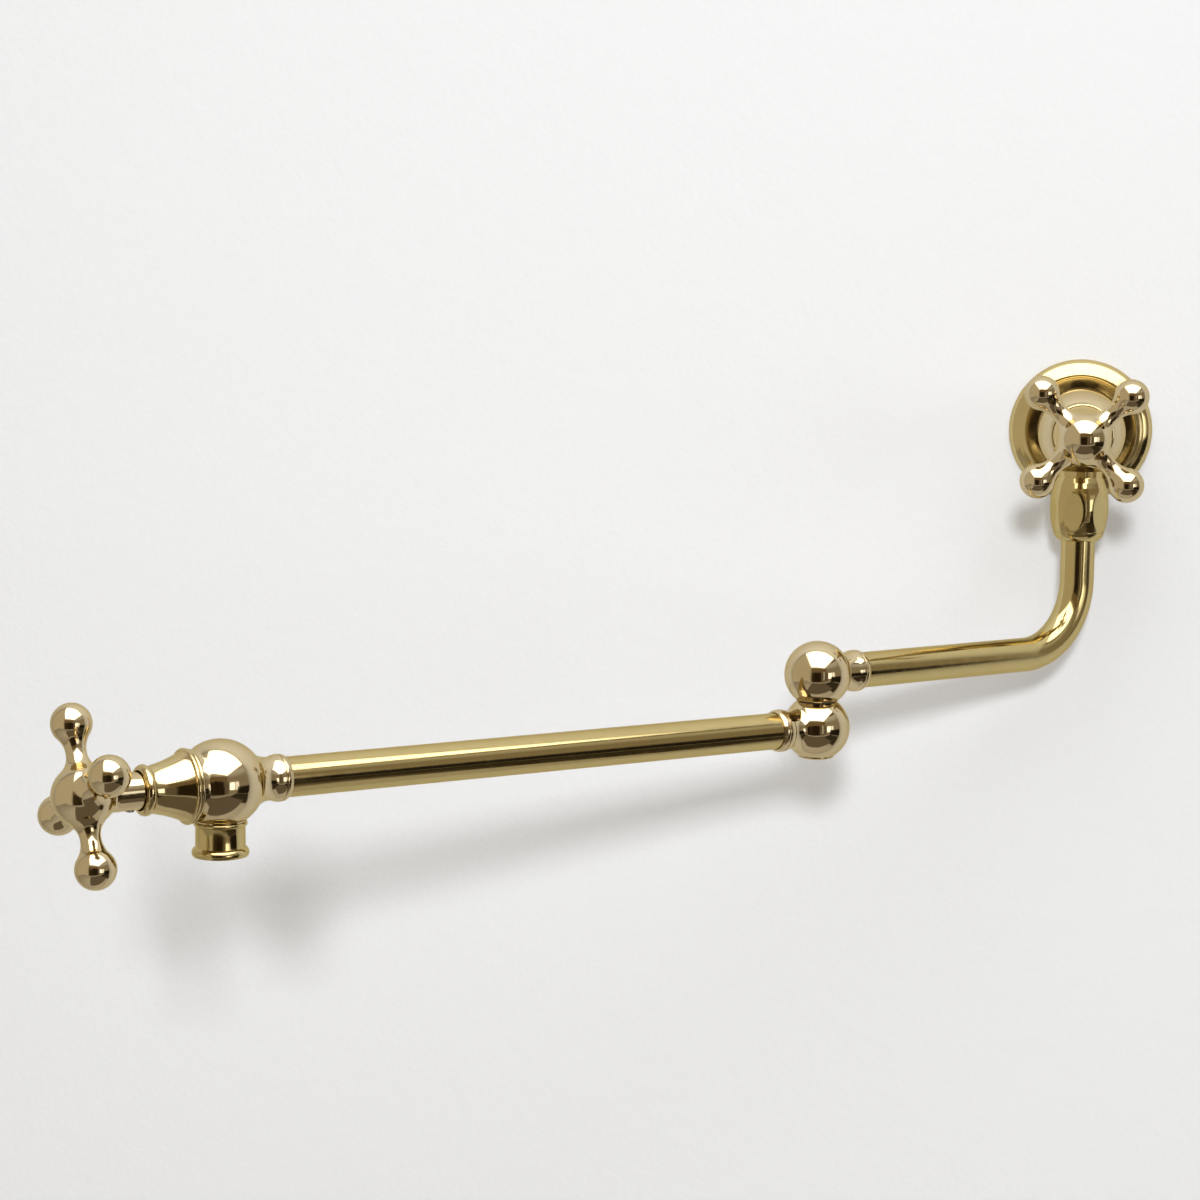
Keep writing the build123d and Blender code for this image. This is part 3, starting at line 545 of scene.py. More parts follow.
# ---- Meshes -----------------------------------------------------------------------------------------
class Workshop:
    """Makes meshes from profiles and paths, and puts finished pieces in the scene."""

    def __init__(self) -> None:
        """Builds each Geometry Nodes tree once."""
        self.turning = turning_tree()
        self.sweeping = tube_tree()
        self.spokes = spoke_tree()
        self.weaving = woven_tree()

    @staticmethod
    def chain(name: str, points: Sequence[Sequence[float]], closed: bool) -> bpy.types.Object:
        """An object whose mesh is one chain of edges.

        Args:
            name: of the object.
            points: in order along the chain.
            closed: whether the last point is joined to the first.
        Returns:
            The object, linked to the scene.
        """
        mesh = bpy.data.meshes.new(name)
        edges = [(i, i + 1) for i in range(len(points) - 1)]
        if closed:
            edges.append((len(points) - 1, 0))
        mesh.from_pydata([tuple(p) for p in points], edges, [])
        made = bpy.data.objects.new(name, mesh)
        bpy.context.scene.collection.objects.link(made)
        return made

    @staticmethod
    def grown(source: bpy.types.Object, tree: bpy.types.NodeTree, **inputs: object) -> bpy.types.Object:
        """Runs a Geometry Nodes tree on an object and keeps its result as the object's plain mesh.

        Args:
            source: the object that the tree starts from.
            tree: the Geometry Nodes tree.
            inputs: the tree's inputs, with underscores for spaces.
        Returns:
            The same object with its new mesh.
        """
        modifier = source.modifiers.new(tree.name, "NODES")
        modifier.node_group = tree
        for name, value in inputs.items():
            modifier_input(modifier, name.replace("_", " ").capitalize(), value)
        return Workshop.baked(source)

    @staticmethod
    def baked(source: bpy.types.Object) -> bpy.types.Object:
        """Replaces an object's mesh and modifiers by its evaluated mesh.

        Args:
            source: the object.
        Returns:
            The same object with its new mesh.
        """
        graph = bpy.context.evaluated_depsgraph_get()
        graph.update()
        mesh = bpy.data.meshes.new_from_object(source.evaluated_get(graph), depsgraph=graph)
        old = source.data
        source.modifiers.clear()
        source.data = mesh
        bpy.data.meshes.remove(old)
        mesh.name = source.name
        return source

    def turned(self, name: str, profile: Profile, closed: bool = True,
               segments: int = SEGMENTS, soft: float = SOFT_EDGE) -> bpy.types.Object:
        """Turned solid in its own frame, in millimetres.

        Args:
            name: of the object.
            profile: its outline; a closed one goes round a bore, an open one ends on the axis.
            closed: whether the outline is closed.
            segments: faces round the piece.
            soft: radius of its rounded edges.
        Returns:
            The object, with outward faces.
        """
        points = [(radius, 0.0, height) for radius, height in profile.softened(closed, soft)]
        made = self.grown(self.chain(name, points, closed), self.turning, segments=segments)
        self.outward(made)
        return made

    @staticmethod
    def outward(made: bpy.types.Object) -> None:
        """Turns a closed mesh's faces outwards.

        Args:
            made: the piece; its doubles are merged first.
        """
        work = bmesh.new()
        work.from_mesh(made.data)
        bmesh.ops.remove_doubles(work, verts=work.verts, dist=WELD)
        bmesh.ops.dissolve_degenerate(work, edges=work.edges, dist=HAIR)
        loose = [v for v in work.verts if not v.link_faces]
        bmesh.ops.delete(work, geom=loose, context="VERTS")
        bmesh.ops.recalc_face_normals(work, faces=work.faces)
        work.to_mesh(made.data)
        work.free()

    @staticmethod
    def sliced(made: bpy.types.Object, point: Vector, normal: Vector) -> None:
        """Cuts away what lies beyond a plane and closes the cut.

        Args:
            made: the piece.
            point: any point of the plane.
            normal: points to the side that is cut away.
        """
        work = bmesh.new()
        work.from_mesh(made.data)
        cut = bmesh.ops.bisect_plane(work, geom=[*work.verts, *work.edges, *work.faces],
                                     plane_co=point, plane_no=normal, clear_outer=True, dist=HAIR)
        rim = [e for e in cut["geom_cut"] if isinstance(e, bmesh.types.BMEdge) and e.is_boundary]
        bmesh.ops.contextual_create(work, geom=rim)
        bmesh.ops.recalc_face_normals(work, faces=work.faces)
        work.to_mesh(made.data)
        work.free()

    @staticmethod
    def combined(made: bpy.types.Object, tool: bpy.types.Object, operation: str) -> bpy.types.Object:
        """Joins another closed solid to a piece, or cuts with it, and removes it.

        Args:
            made: the piece that is kept.
            tool: the other solid.
            operation: UNION or DIFFERENCE.
        Returns:
            The piece.
        """
        modifier = made.modifiers.new("combine", "BOOLEAN")
        modifier.object = tool
        modifier.operation = operation
        modifier.solver = "EXACT"
        Workshop.baked(made)
        bpy.data.objects.remove(tool)
        return made

    @staticmethod
    def smoothed(made: bpy.types.Object) -> None:
        """Shades a mesh smooth between its real edges."""
        made.data.shade_smooth()
        made.data.set_sharp_from_angle(angle=SHARP)

    def finished(self, made: bpy.types.Object, place: Place, body: str, slot: str,
                 material: bpy.types.Material, *nodes: str) -> bpy.types.Object:
        """Sets a piece in place, dresses it and gives it its body.

        Args:
            made: the piece, in its own frame and in millimetres.
            place: where its frame lies.
            body: the body that it moves with.
            slot: the record's material slot; not used.
            material: its finish.
            nodes: the solids that it stands for.
        Returns:
            The piece.
        """
        made.data.transform(place.matrix())
        self.smoothed(made)
        made.data.materials.clear()
        made.data.materials.append(material)
        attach(made, body)
        if nodes:
            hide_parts(*nodes)
        LOG.info("%s: %d faces on %s", made.name, len(made.data.polygons), body)
        return made


# ---- Shader node groups -----------------------------------------------------------------------------
def shader_group(name: str) -> tuple[bpy.types.NodeTree, Graph, bpy.types.Node]:
    """An empty shader node group that reads a vector.

    Args:
        name: of the group.
    Returns:
        The group, its graph and its input node.
    """
    tree = bpy.data.node_groups.new(name, "ShaderNodeTree")
    socket(tree, "Vector", "Vector")
    graph = Graph(tree)
    return tree, graph, graph.add("NodeGroupInput")


def round_axis(graph: Graph, vector: SocketValue) -> tuple[bpy.types.NodeSocket, ...]:
    """Distance from the local Z axis, angle round it and height along it.

    Args:
        graph: of the tree that needs them.
        vector: the place, in a piece's own coordinates.
    Returns:
        The distance, the angle in radians and the height.
    """
    part = graph.add("ShaderNodeSeparateXYZ", {0: vector})
    flat = graph.add("ShaderNodeCombineXYZ", {0: part.outputs[0], 1: part.outputs[1]})
    radius = graph.vector("LENGTH", flat.outputs[0])
    angle = graph.maths("ARCTAN2", part.outputs[1], part.outputs[0])
    return radius, angle, part.outputs[2]


def turned_grain() -> bpy.types.NodeTree:
    """Fine rings that a lathe leaves: they vary along the profile and hardly round it.

    Returns:
        The group, whose output is the grain's height.
    """
    tree, graph, group = shader_group("turned_grain")
    socket(tree, "Spacing", "Float", 0.35)
    socket(tree, "Grain", "Float", output=True)
    radius, angle, height = round_axis(graph, group.outputs["Vector"])
    along = graph.maths("ADD", graph.maths("MULTIPLY", radius, 0.83), height)
    rings = graph.maths("DIVIDE", along, group.outputs["Spacing"])
    drift = graph.maths("MULTIPLY", graph.maths("SINE", angle), 0.35)
    spot = graph.add("ShaderNodeCombineXYZ", {0: rings, 1: drift, 2: 0.0})
    graph.add("NodeGroupOutput", {0: graph.noise(spot.outputs[0], scale=1.0, detail=4.0, roughness=0.6)})
    return tree


def drawn_grain() -> bpy.types.NodeTree:
    """Long fine lines that drawing and buffing leave along a tube.

    Returns:
        The group, whose output is the grain's height.
    """
    tree, graph, group = shader_group("drawn_grain")
    socket(tree, "Spacing", "Float", 0.4)
    socket(tree, "Length", "Float", 60.0)
    socket(tree, "Grain", "Float", output=True)
    part = graph.add("ShaderNodeSeparateXYZ", {0: group.outputs["Vector"]})
    across, beside = (graph.maths("DIVIDE", part.outputs[i], group.outputs["Spacing"]) for i in (0, 1))
    along = graph.maths("DIVIDE", part.outputs[2], group.outputs["Length"])
    spot = graph.add("ShaderNodeCombineXYZ", {0: across, 1: beside, 2: along})
    graph.add("NodeGroupOutput", {0: graph.noise(spot.outputs[0], scale=1.0, detail=3.0, roughness=0.55)})
    return tree


def cast_ripple() -> bpy.types.NodeTree:
    """Shallow unevenness that hand buffing leaves on a casting.

    Returns:
        The group, whose output is the ripple's height.
    """
    tree, graph, group = shader_group("cast_ripple")
    socket(tree, "Spacing", "Float", 7.0)
    socket(tree, "Grain", "Float", output=True)
    spot = graph.vector("DIVIDE", group.outputs["Vector"], group.outputs["Spacing"])
    graph.add("NodeGroupOutput", {0: graph.noise(spot, scale=1.0, detail=1.0)})
    return tree


def bare_brass() -> bpy.types.NodeTree:
    """Colour and roughness of bare polished brass: haze, rub marks and faint tarnish.

    Returns:
        The group, whose outputs are a colour and a roughness.
    """
    tree, graph, group = shader_group("bare_brass")
    socket(tree, "Colour", "Color", (0.8, 0.65, 0.4, 1.0))
    socket(tree, "Tarnish", "Color", (0.5, 0.34, 0.16, 1.0))
    socket(tree, "Tarnish share", "Float", 0.3)
    socket(tree, "Polish", "Float", 0.06)
    socket(tree, "Haze", "Float", 0.06)
    socket(tree, "Colour", "Color", output=True)
    socket(tree, "Roughness", "Float", output=True)
    vector = group.outputs["Vector"]
    cloud = graph.noise(vector, scale=0.028, detail=4.0, roughness=0.6)
    speck = graph.noise(vector, scale=0.9, detail=3.0, roughness=0.7)
    spots = graph.between(speck, 0.70, 0.80)
    patch = graph.between(cloud, 0.42, 0.72)
    dull = graph.maths("MULTIPLY", graph.maths("MAXIMUM", patch, spots), group.outputs["Tarnish share"])
    colour = graph.blend(dull, group.outputs["Colour"], group.outputs["Tarnish"])
    rub = graph.noise(vector, scale=0.11, detail=3.0, roughness=0.65)
    haze = graph.maths("MULTIPLY", graph.between(rub, 0.35, 0.75), group.outputs["Haze"])
    rough = graph.maths("ADD", group.outputs["Polish"], graph.maths("ADD", haze,
                        graph.maths("MULTIPLY", dull, 0.10)))
    graph.add("NodeGroupOutput", {0: colour, 1: rough})
    return tree


class Grain(Enum):
    """How a brass piece's surface was made."""

    TURNED = "turned_grain"
    DRAWN = "drawn_grain"
    CAST = "cast_ripple"


class Groups:
    """The shader node groups, each built when it's first asked for."""

    builders: dict[str, Callable[[], bpy.types.NodeTree]] = {
        "turned_grain": turned_grain, "drawn_grain": drawn_grain, "cast_ripple": cast_ripple,
        "bare_brass": bare_brass}

    @classmethod
    def get(cls, name: str) -> bpy.types.NodeTree:
        """The group of that name."""
        return bpy.data.node_groups.get(name) or cls.builders[name]()


# ---- Finishes ---------------------------------------------------------------------------------------
def empty_material(name: str) -> tuple[bpy.types.Material, Graph]:
    """A material with an empty node tree.

    Args:
        name: of the material.
    Returns:
        The material and the graph of its tree.
    """
    material = bpy.data.materials.new(name)
    material.use_nodes = True
    return material, Graph(material.node_tree)


def local_millimetres(graph: Graph, place: Place) -> bpy.types.NodeSocket:
    """A piece's own coordinates in millimetres, from its Object coordinates.

    Args:
        graph: of the material.
        place: the piece's own frame.
    Returns:
        The coordinates, as a vector.
    """
    turn = place.rotation().inverted()
    source = graph.add("ShaderNodeTexCoord").outputs["Object"]
    mapping = graph.add("ShaderNodeMapping", {
        "Vector": source, "Location": -(turn @ place.origin), "Rotation": turn.to_euler(),
        "Scale": (1 / MM,) * 3})
    return mapping.outputs[0]


@dataclass(frozen=True)
class Brass:
    """Polished bare brass."""

    grain: Grain
    colour: Colour = (0.59, 0.485, 0.30)
    edge: Colour = (0.74, 0.66, 0.46)
    tarnish: Colour = (0.44, 0.31, 0.14)
    tarnish_share: float = 0.25
    polish: float = 0.05
    haze: float = 0.05
    spacing: float = 0.35        # millimetres between grain lines
    relief: float = 0.0012       # millimetres, height of the grain

    def material(self, name: str, place: Place) -> bpy.types.Material:
        """The finish laid out about one piece's own axis.

        Args:
            name: of the piece and of its material.
            place: the piece's own frame; the grain runs round or along its +Z.
        Returns:
            The material.
        """
        material, graph = empty_material(name)
        where = local_millimetres(graph, place)
        group = graph.add("ShaderNodeGroup", node_tree=Groups.get("bare_brass"))
        values = {"Vector": where, "Colour": (*self.colour, 1.0), "Tarnish": (*self.tarnish, 1.0),
                  "Tarnish share": self.tarnish_share, "Polish": self.polish, "Haze": self.haze}
        for key, value in values.items():
            graph.feed(group.inputs[key], value)
        grain = graph.add("ShaderNodeGroup", node_tree=Groups.get(self.grain.value))
        graph.feed(grain.inputs["Vector"], where)
        graph.feed(grain.inputs["Spacing"], self.spacing)
        bump = graph.add("ShaderNodeBump", {"Height": grain.outputs[0], "Distance": self.relief * MM,
                                            "Strength": 1.0})
        shader = graph.add("ShaderNodeBsdfPrincipled", {
            "Base Color": group.outputs["Colour"], "Roughness": group.outputs["Roughness"],
            "Metallic": 1.0, "Specular Tint": (*self.edge, 1.0), "Normal": bump.outputs[0]})
        graph.add("ShaderNodeOutputMaterial", {0: shader.outputs[0]})
        return material


@dataclass(frozen=True)
class Plain:
    """Simple moulded, lapped or machined finish with fine grain in its roughness and relief."""

    colour: Colour
    roughness: float
    metallic: float = 0.0
    grain: float = 0.05          # share that the grain adds to the roughness
    scale: float = 2.0           # grains in a millimetre
    relief: float = 0.004        # millimetres

    def material(self, name: str) -> bpy.types.Material:
        """The finish as a material.

        Args:
            name: of the material.
        Returns:
            The material.
        """
        material, graph = empty_material(name)
        source = graph.add("ShaderNodeTexCoord").outputs["Object"]
        where = graph.add("ShaderNodeMapping", {"Vector": source, "Scale": (1 / MM,) * 3}).outputs[0]
        speck = graph.noise(where, scale=self.scale, detail=3.0, roughness=0.6)
        low = tuple(c * 0.9 for c in self.colour)
        cloud = graph.noise(where, scale=self.scale / 9, detail=2.0)
        colour = graph.blend(cloud, (*low, 1.0), (*self.colour, 1.0))
        rough = graph.between(speck, 0.2, 0.8, self.roughness, self.roughness + self.grain)
        bump = graph.add("ShaderNodeBump", {"Height": speck, "Distance": self.relief * MM})
        shader = graph.add("ShaderNodeBsdfPrincipled", {
            "Base Color": colour, "Roughness": rough, "Metallic": self.metallic,
            "Normal": bump.outputs[0]})
        graph.add("ShaderNodeOutputMaterial", {0: shader.outputs[0]})
        return material


CAST_BRASS = Brass(Grain.CAST, relief=0.042, spacing=6.0)
TURNED_BRASS = Brass(Grain.TURNED, colour=(0.58, 0.47, 0.25))
FLANGE_BRASS = Brass(Grain.TURNED, colour=(0.57, 0.46, 0.225), polish=0.09, haze=0.07)
NUT_BRASS = Brass(Grain.TURNED, colour=(0.52, 0.415, 0.19), polish=0.08, haze=0.06)
TUBE_BRASS = Brass(Grain.DRAWN, colour=(0.52, 0.415, 0.19), polish=0.10, haze=0.06, relief=0.002)
MACHINED_BRASS = Plain((0.72, 0.55, 0.30), 0.28, metallic=1.0)
STEEL = Plain((0.58, 0.58, 0.60), 0.30, metallic=1.0)
RUBBER = Plain((0.025, 0.025, 0.027), 0.62)
# near black: painted shade for the thin gap between the elbow balls, in the place of the slip washers' own white
SEAM_SHADE_PLASTIC = Plain((0.06, 0.055, 0.05), 0.48)
CERAMIC = Plain((0.88, 0.88, 0.86), 0.16, grain=0.03)
AERATOR_PLASTIC = Plain((0.70, 0.71, 0.72), 0.38)


# ---- Tube fittings ----------------------------------------------------------------------------------
@dataclass
class TubeFitting:
    """Ball with a neck and a collar of two rings; the tube leaves along the frame's +Z."""

    ball: float
    blend: float                 # radius of the fillet between ball and neck
    collar_end: float            # ball's centre to the collar's end
    neck: float = 10.1
    collar: float = 11.15
    collar_length: float = 7.6
    foot_step: float = 0.1       # from the neck out to the collar's foot
    foot_gap: float = 0.5        # least run between the fillet and the collar's foot
    swell: Point = (0.28, 5.4)   # middle of the first ring, in from the collar and back from its end
    groove: float = 10.55
    groove_edges: tuple[float, ...] = (-0.2, -0.1, 0.25, 0.35)  # its four corners, from the ring's start
    ring: float = 3.4            # length of the second ring
    ring_start: float = 0.2      # how far it starts inside the collar's radius
    ring_middle: Point = (0.15, 1.5)  # its middle, in from the collar and on from its start
    ring_end: float = 10.35
    end_round: Point = (0.15, 0.5)    # rounding at its end
    socket: float = 9.55
    socket_depth: float = 10.0
    water: float = 6.5

    def neck_profile(self, profile: Profile) -> Profile:
        """Continues a ball's outline along its neck and collar to the collar's end.

        Args:
            profile: the outline so far, which ends on the ball.
        Returns:
            The same profile.
        """
        on_ball, middle, on_neck = ball_blend(self.ball, self.neck, self.blend)
        start, ring = self.collar_end - self.collar_length, self.collar_end - self.ring
        profile.arc(self.ball_middle(profile.points[-1], on_ball), on_ball).arc(middle, on_neck)
        before, down, up, after = (ring + edge for edge in self.groove_edges)
        profile.to((self.neck + self.foot_step, max(start, on_neck[1] + self.foot_gap)))
        profile.arc((self.collar - self.swell[0], self.collar_end - self.swell[1]), (self.collar, before))
        profile.to((self.groove, down), (self.groove, up), (self.collar - self.ring_start, after))
        profile.arc((self.collar - self.ring_middle[0], ring + self.ring_middle[1]),
                    (self.ring_end, self.collar_end - self.end_round[1]))
        return profile.to((self.ring_end - self.end_round[0], self.collar_end))

    def ball_middle(self, start: Point, end: Point) -> Point:
        """A point of the ball's outline half way between two others.

        Args:
            start, end: two points of the ball's outline.
        Returns:
            The point between them.
        """
        first, last = (math.atan2(p[1], p[0]) for p in (start, end))
        middle = (first + last) / 2
        return self.ball * math.cos(middle), self.ball * math.sin(middle)

    def socket_profile(self, profile: Profile, water_start: float) -> Profile:
        """Continues from the collar's end into the tube's socket and the water way.

        Args:
            profile: the outline so far, which ends on the collar's end.
            water_start: height at which the water way starts.
        Returns:
            The same profile.
        """
        bottom = self.collar_end - self.socket_depth
        return profile.to((self.socket, self.collar_end), (self.socket, bottom), (self.water, bottom),
                          (self.water, water_start))


@dataclass
class Elbow:
    """The two ball fittings that turn on each other, with the plug under the lower one."""

    upper: TubeFitting = field(default_factory=lambda: TubeFitting(17.5, 0.8, 28.6))
    lower: TubeFitting = field(default_factory=lambda: TubeFitting(17.5, 5.5, 27.7))
    gap: float = 0.6
    plug: float = 9.5
    plug_groove: float = 0.35
    plug_slit: float = 0.55
    plug_edge: float = 0.2       # height of the plug's straight edge
    plug_dome: float = 17.3
    plug_thread: float = 8.6
    plug_top: float = 12.5

    def solid(self, shop: Workshop, name: str, fitting: TubeFitting) -> bpy.types.Object:
        """One ball fitting before its flat is cut.

        Args:
            shop: makes its mesh.
            name: of the object.
            fitting: the sizes of the ball and its neck.
        Returns:
            The object, in its own frame.
        """
        profile = fitting.neck_profile(Profile(0.0, -fitting.ball))
        fitting.socket_profile(profile, 0.0).to((0.0, 0.0))
        return shop.turned(name, profile, closed=False)

    def build(self, shop: Workshop, upper: Place, lower: Place) -> None:
        """Makes both ball fittings and the plug.

        Args:
            shop: makes their meshes.
            upper: the upper ball's frame, with +Z towards its tube.
            lower: the lower ball's frame, with +Z towards its tube.
        """
        step = (upper.origin - lower.origin).z
        flat = (step - self.gap) / 2
        for name, fitting, place, body, side in (
                ("upper_elbow_ball", self.upper, upper, "upper_arm", -1.0),
                ("lower_elbow_ball", self.lower, lower, "lower_arm", 1.0)):
            made = self.solid(shop, name, fitting)
            shop.sliced(made, Vector((0.0, side * flat, 0.0)), Vector((0.0, side, 0.0)))
            if body == "lower_arm":
                seat = math.sqrt(fitting.ball ** 2 - self.plug ** 2)
                shop.sliced(made, Vector((0.0, -seat, 0.0)), Vector((0.0, -1.0, 0.0)))
            node = name.removesuffix("_ball")
            shop.finished(made, place, body, "polished_brass", CAST_BRASS.material(name, place), node)
        self.build_plug(shop, Place.below(lower.origin))

    def build_plug(self, shop: Workshop, place: Place) -> None:
        """Makes the domed plug under the lower ball.

        Args:
            shop: makes its mesh.
            place: its frame, at the lower ball's centre with +Z straight down.
        """
        seat = math.sqrt(self.lower.ball ** 2 - self.plug ** 2)
        head = self.plug - self.plug_groove
        edge = seat + self.plug_slit + self.plug_edge
        rise = self.plug_dome - edge
        dome = (head ** 2 + rise ** 2) / (2 * rise)
        middle = (head / 2, self.plug_dome - dome + math.sqrt(dome ** 2 - (head / 2) ** 2))
        profile = Profile(0.0, self.plug_top).to(
            (self.plug_thread, self.plug_top), (self.plug_thread, seat + self.plug_slit),
            (head, seat + self.plug_slit), (head, edge))
        profile.arc(middle, (0.0, self.plug_dome))
        made = shop.turned("elbow_plug_cap", profile, closed=False)
        finish = TURNED_BRASS.material("elbow_plug_cap", place)
        shop.finished(made, place, "lower_arm", "polished_brass", finish, "elbow_plug")


# ---- Tubes ------------------------------------------------------------------------------------------
@dataclass
class Tubes:
    """The bent drop tube and the straight arm tube."""

    outer: float = 9.5
    bore: float = 8.3
    bend: float = 40.0
    bend_step: float = 2.0       # degrees between two rings in the bend

    def bent_line(self, start: Vector, corner: Vector, end: Vector) -> list[Vector]:
        """Centre line from start to end with one bend at the corner.

        Args:
            start, end: the tube's two ends.
            corner: where its straight runs would meet.
        Returns:
            Points along the centre line.
        """
        back = (start - corner).normalized()
        on = (end - corner).normalized()
        half = back.angle(on) / 2
        reach = self.bend / math.tan(half)
        centre = corner + (back + on).normalized() * (self.bend / math.sin(half))
        first = corner + back * reach - centre
        axis = first.cross(corner + on * reach - centre).normalized()
        sweep = math.pi - 2 * half
        steps = round(math.degrees(sweep) / self.bend_step)
        arc = [centre + Matrix.Rotation(sweep * i / steps, 3, axis) @ first for i in range(steps + 1)]
        return [start, *arc, end]

    def build(self, shop: Workshop, name: str, line: list[Vector], body: str, node: str,
              finish: bpy.types.Material) -> None:
        """Makes one tube along a centre line.

        Args:
            shop: makes its mesh.
            name: of the object.
            line: points of the centre line, in millimetres.
            body: the body that it moves with.
            node: the solid that it stands for.
            finish: its material.
        """
        made = shop.chain(name, line, closed=False)
        shop.grown(made, shop.sweeping, outer_radius=self.outer, bore_radius=self.bore)
        self.close_ends(made, line[0], line[-1])
        row = Place(Vector(), UP, Vector((0.0, 1.0, 0.0)))
        shop.finished(made, row, body, "polished_brass", finish, node)

    def close_ends(self, made: bpy.types.Object, *ends: Vector) -> None:
        """Bridges the outer wall and the bore at each end of a tube.

        Args:
            made: the tube's mesh, open at both ends.
            ends: the centres of its two ends.
        """
        work = bmesh.new()
        work.from_mesh(made.data)
        rims = [e for e in work.edges if e.is_boundary]
        for end in ends:
            near = [e for e in rims if (e.verts[0].co - end).length < self.outer + 1.0]
            bmesh.ops.bridge_loops(work, edges=near)
        bmesh.ops.recalc_face_normals(work, faces=work.faces)
        work.to_mesh(made.data)
        work.free()


# ---- Flange -----------------------------------------------------------------------------------------
@dataclass
class WallFlange:
    """Turned escutcheon: convex outer ring, cove and neck."""

    back: float = 40.05
    rim: Point = (40.8, 1.3)
    ring_middle: Point = (38.6, 4.9)
    ring_end: Point = (35.0, 6.9)
    crest_middle: Point = (33.1, 7.6)
    crest_end: Point = (31.2, 8.1)
    step: Point = (30.5, 7.6)
    step_foot: Point = (30.2, 4.7)
    cove_start: Point = (25.6, 5.0)
    cove_middle: Point = (19.4, 7.6)
    cove_end: float = 14.5
    neck: float = 16.9
    gasket: float = 38.0
    gasket_depth: float = 1.5
    bore: float = 13.3
    depth: float = 21.0
    segments: int = 224          # faces round it, more than usual because it's the widest piece

    def profile(self) -> Profile:
        """Its outline, from the wall outwards and back along the bore.

        Returns:
            The outline, closed round the bore.
        """
        outline = Profile(self.back, 0.0).to(self.rim)
        outline.arc(self.ring_middle, self.ring_end).arc(self.crest_middle, self.crest_end)
        outline.to(self.step, self.step_foot, self.cove_start)
        outline.arc(self.cove_middle, (self.neck, self.cove_end))
        outline.to((self.neck, self.depth), (self.bore, self.depth))
        return outline.to((self.bore, self.gasket_depth), (self.gasket, self.gasket_depth),
                          (self.gasket, 0.0))

    def build(self, shop: Workshop, place: Place) -> None:
        """Makes the flange.

        Args:
            shop: makes its mesh.
            place: its frame, on the wall with +Z out of it.
        """
        made = shop.turned("flange_ring", self.profile(), segments=self.segments)
        finish = FLANGE_BRASS.material("flange_ring", place)
        shop.finished(made, place, "wall_valve", "polished_brass", finish, "wall_flange")


# ---- Valve head -------------------------------------------------------------------------------------
@dataclass
class Bonnet:
    """Flared cover with a base ring and a nose ring, hollow behind its web."""

    ring: float = 16.4
    ring_bulge: float = 17.5
    ring_height: float = 2.3
    cone: float = 16.1
    cone_middle: Point = (12.8, 10.4)
    cone_end: Point = (10.8, 18.4)
    nose_start: float = 19.2
    nose_middle: Point = (11.75, 21.2)
    nose_end: Point = (9.9, 23.55)
    mouth: float = 9.2
    depth: float = 23.6
    web_front: float = 13.5
    web_back: float = 9.5
    stem: float = 7.8
    hollow_top: float = 10.9
    hollow: float = 14.2

    def profile(self) -> Profile:
        """Its outline, from the base ring to the nose and back inside.

        Returns:
            The outline, closed round the bore.
        """
        ring, cone = (self.ring, self.ring_height), (self.cone, self.ring_height)
        outline = Profile(self.ring, 0.0).arc((self.ring_bulge, self.ring_height / 2), ring).to(cone)
        outline.arc(self.cone_middle, self.cone_end).to((self.cone_end[0], self.nose_start))
        outline.arc(self.nose_middle, self.nose_end)
        outline.to((self.mouth, self.depth), (self.mouth, self.web_front), (self.stem, self.web_front),
                   (self.stem, self.web_back), (self.hollow_top, self.web_back))
        return outline.to((self.hollow, self.ring_height), (self.hollow, 0.0))


@dataclass
class ValveHead:
    """What both valves share in front of the ball: land, bead, bonnet and the cartridge's room."""

    land: float = 16.5
    land_height: float = 2.25
    bead: float = 1.8
    bead_radius: float = 17.0
    mouth: float = 12.2
    mouth_depth: float = 1.7
    thread: float = 10.4
    thread_depth: float = 8.0    # front face to the thread's inner end
    room: float = 12.3
    seat_hole: float = 5.5
    seat_depth: float = 18.6
    web: float = 4.0
    bonnet: Bonnet = field(default_factory=Bonnet)

    def face(self, ball: float) -> float:
        """Ball's centre to the front face that the bonnet sits on."""
        return math.sqrt(ball ** 2 - self.land ** 2) + self.land_height + self.bead

    def land_profile(self, profile: Profile, ball: float) -> Profile:
        """Continues a ball's outline over the land and the bead, down the room to the seat's hole.

        Args:
            profile: the outline so far, which ends on the ball at the land's radius.
            ball: radius of the ball.
        Returns:
            The same profile.
        """
        face = self.face(ball)
        seat, mouth, thread = (face - depth for depth in (
            self.seat_depth, self.mouth_depth, self.thread_depth))
        profile.to((self.land, face - self.bead))
        profile.arc((self.bead_radius, face - self.bead / 2), (self.land, face))
        profile.to((self.mouth, face), (self.mouth, mouth), (self.thread, mouth), (self.thread, thread),
                   (self.room, thread), (self.room, seat))
        return profile.to((self.seat_hole, seat), (self.seat_hole, seat - self.web))

    def build_bonnet(self, shop: Workshop, prefix: str, place: Place, body: str) -> None:
        """Makes one bonnet.

        Args:
            shop: makes its mesh.
            prefix: wall or end, as in the node's name.
            place: the head's frame, on the body's front face.
            body: the body that it moves with.
        """
        name = f"{prefix}_bonnet_cover"
        made = shop.turned(name, self.bonnet.profile())
        finish = TURNED_BRASS.material(name, place)
        shop.finished(made, place, body, "polished_brass", finish, f"{prefix}_bonnet")


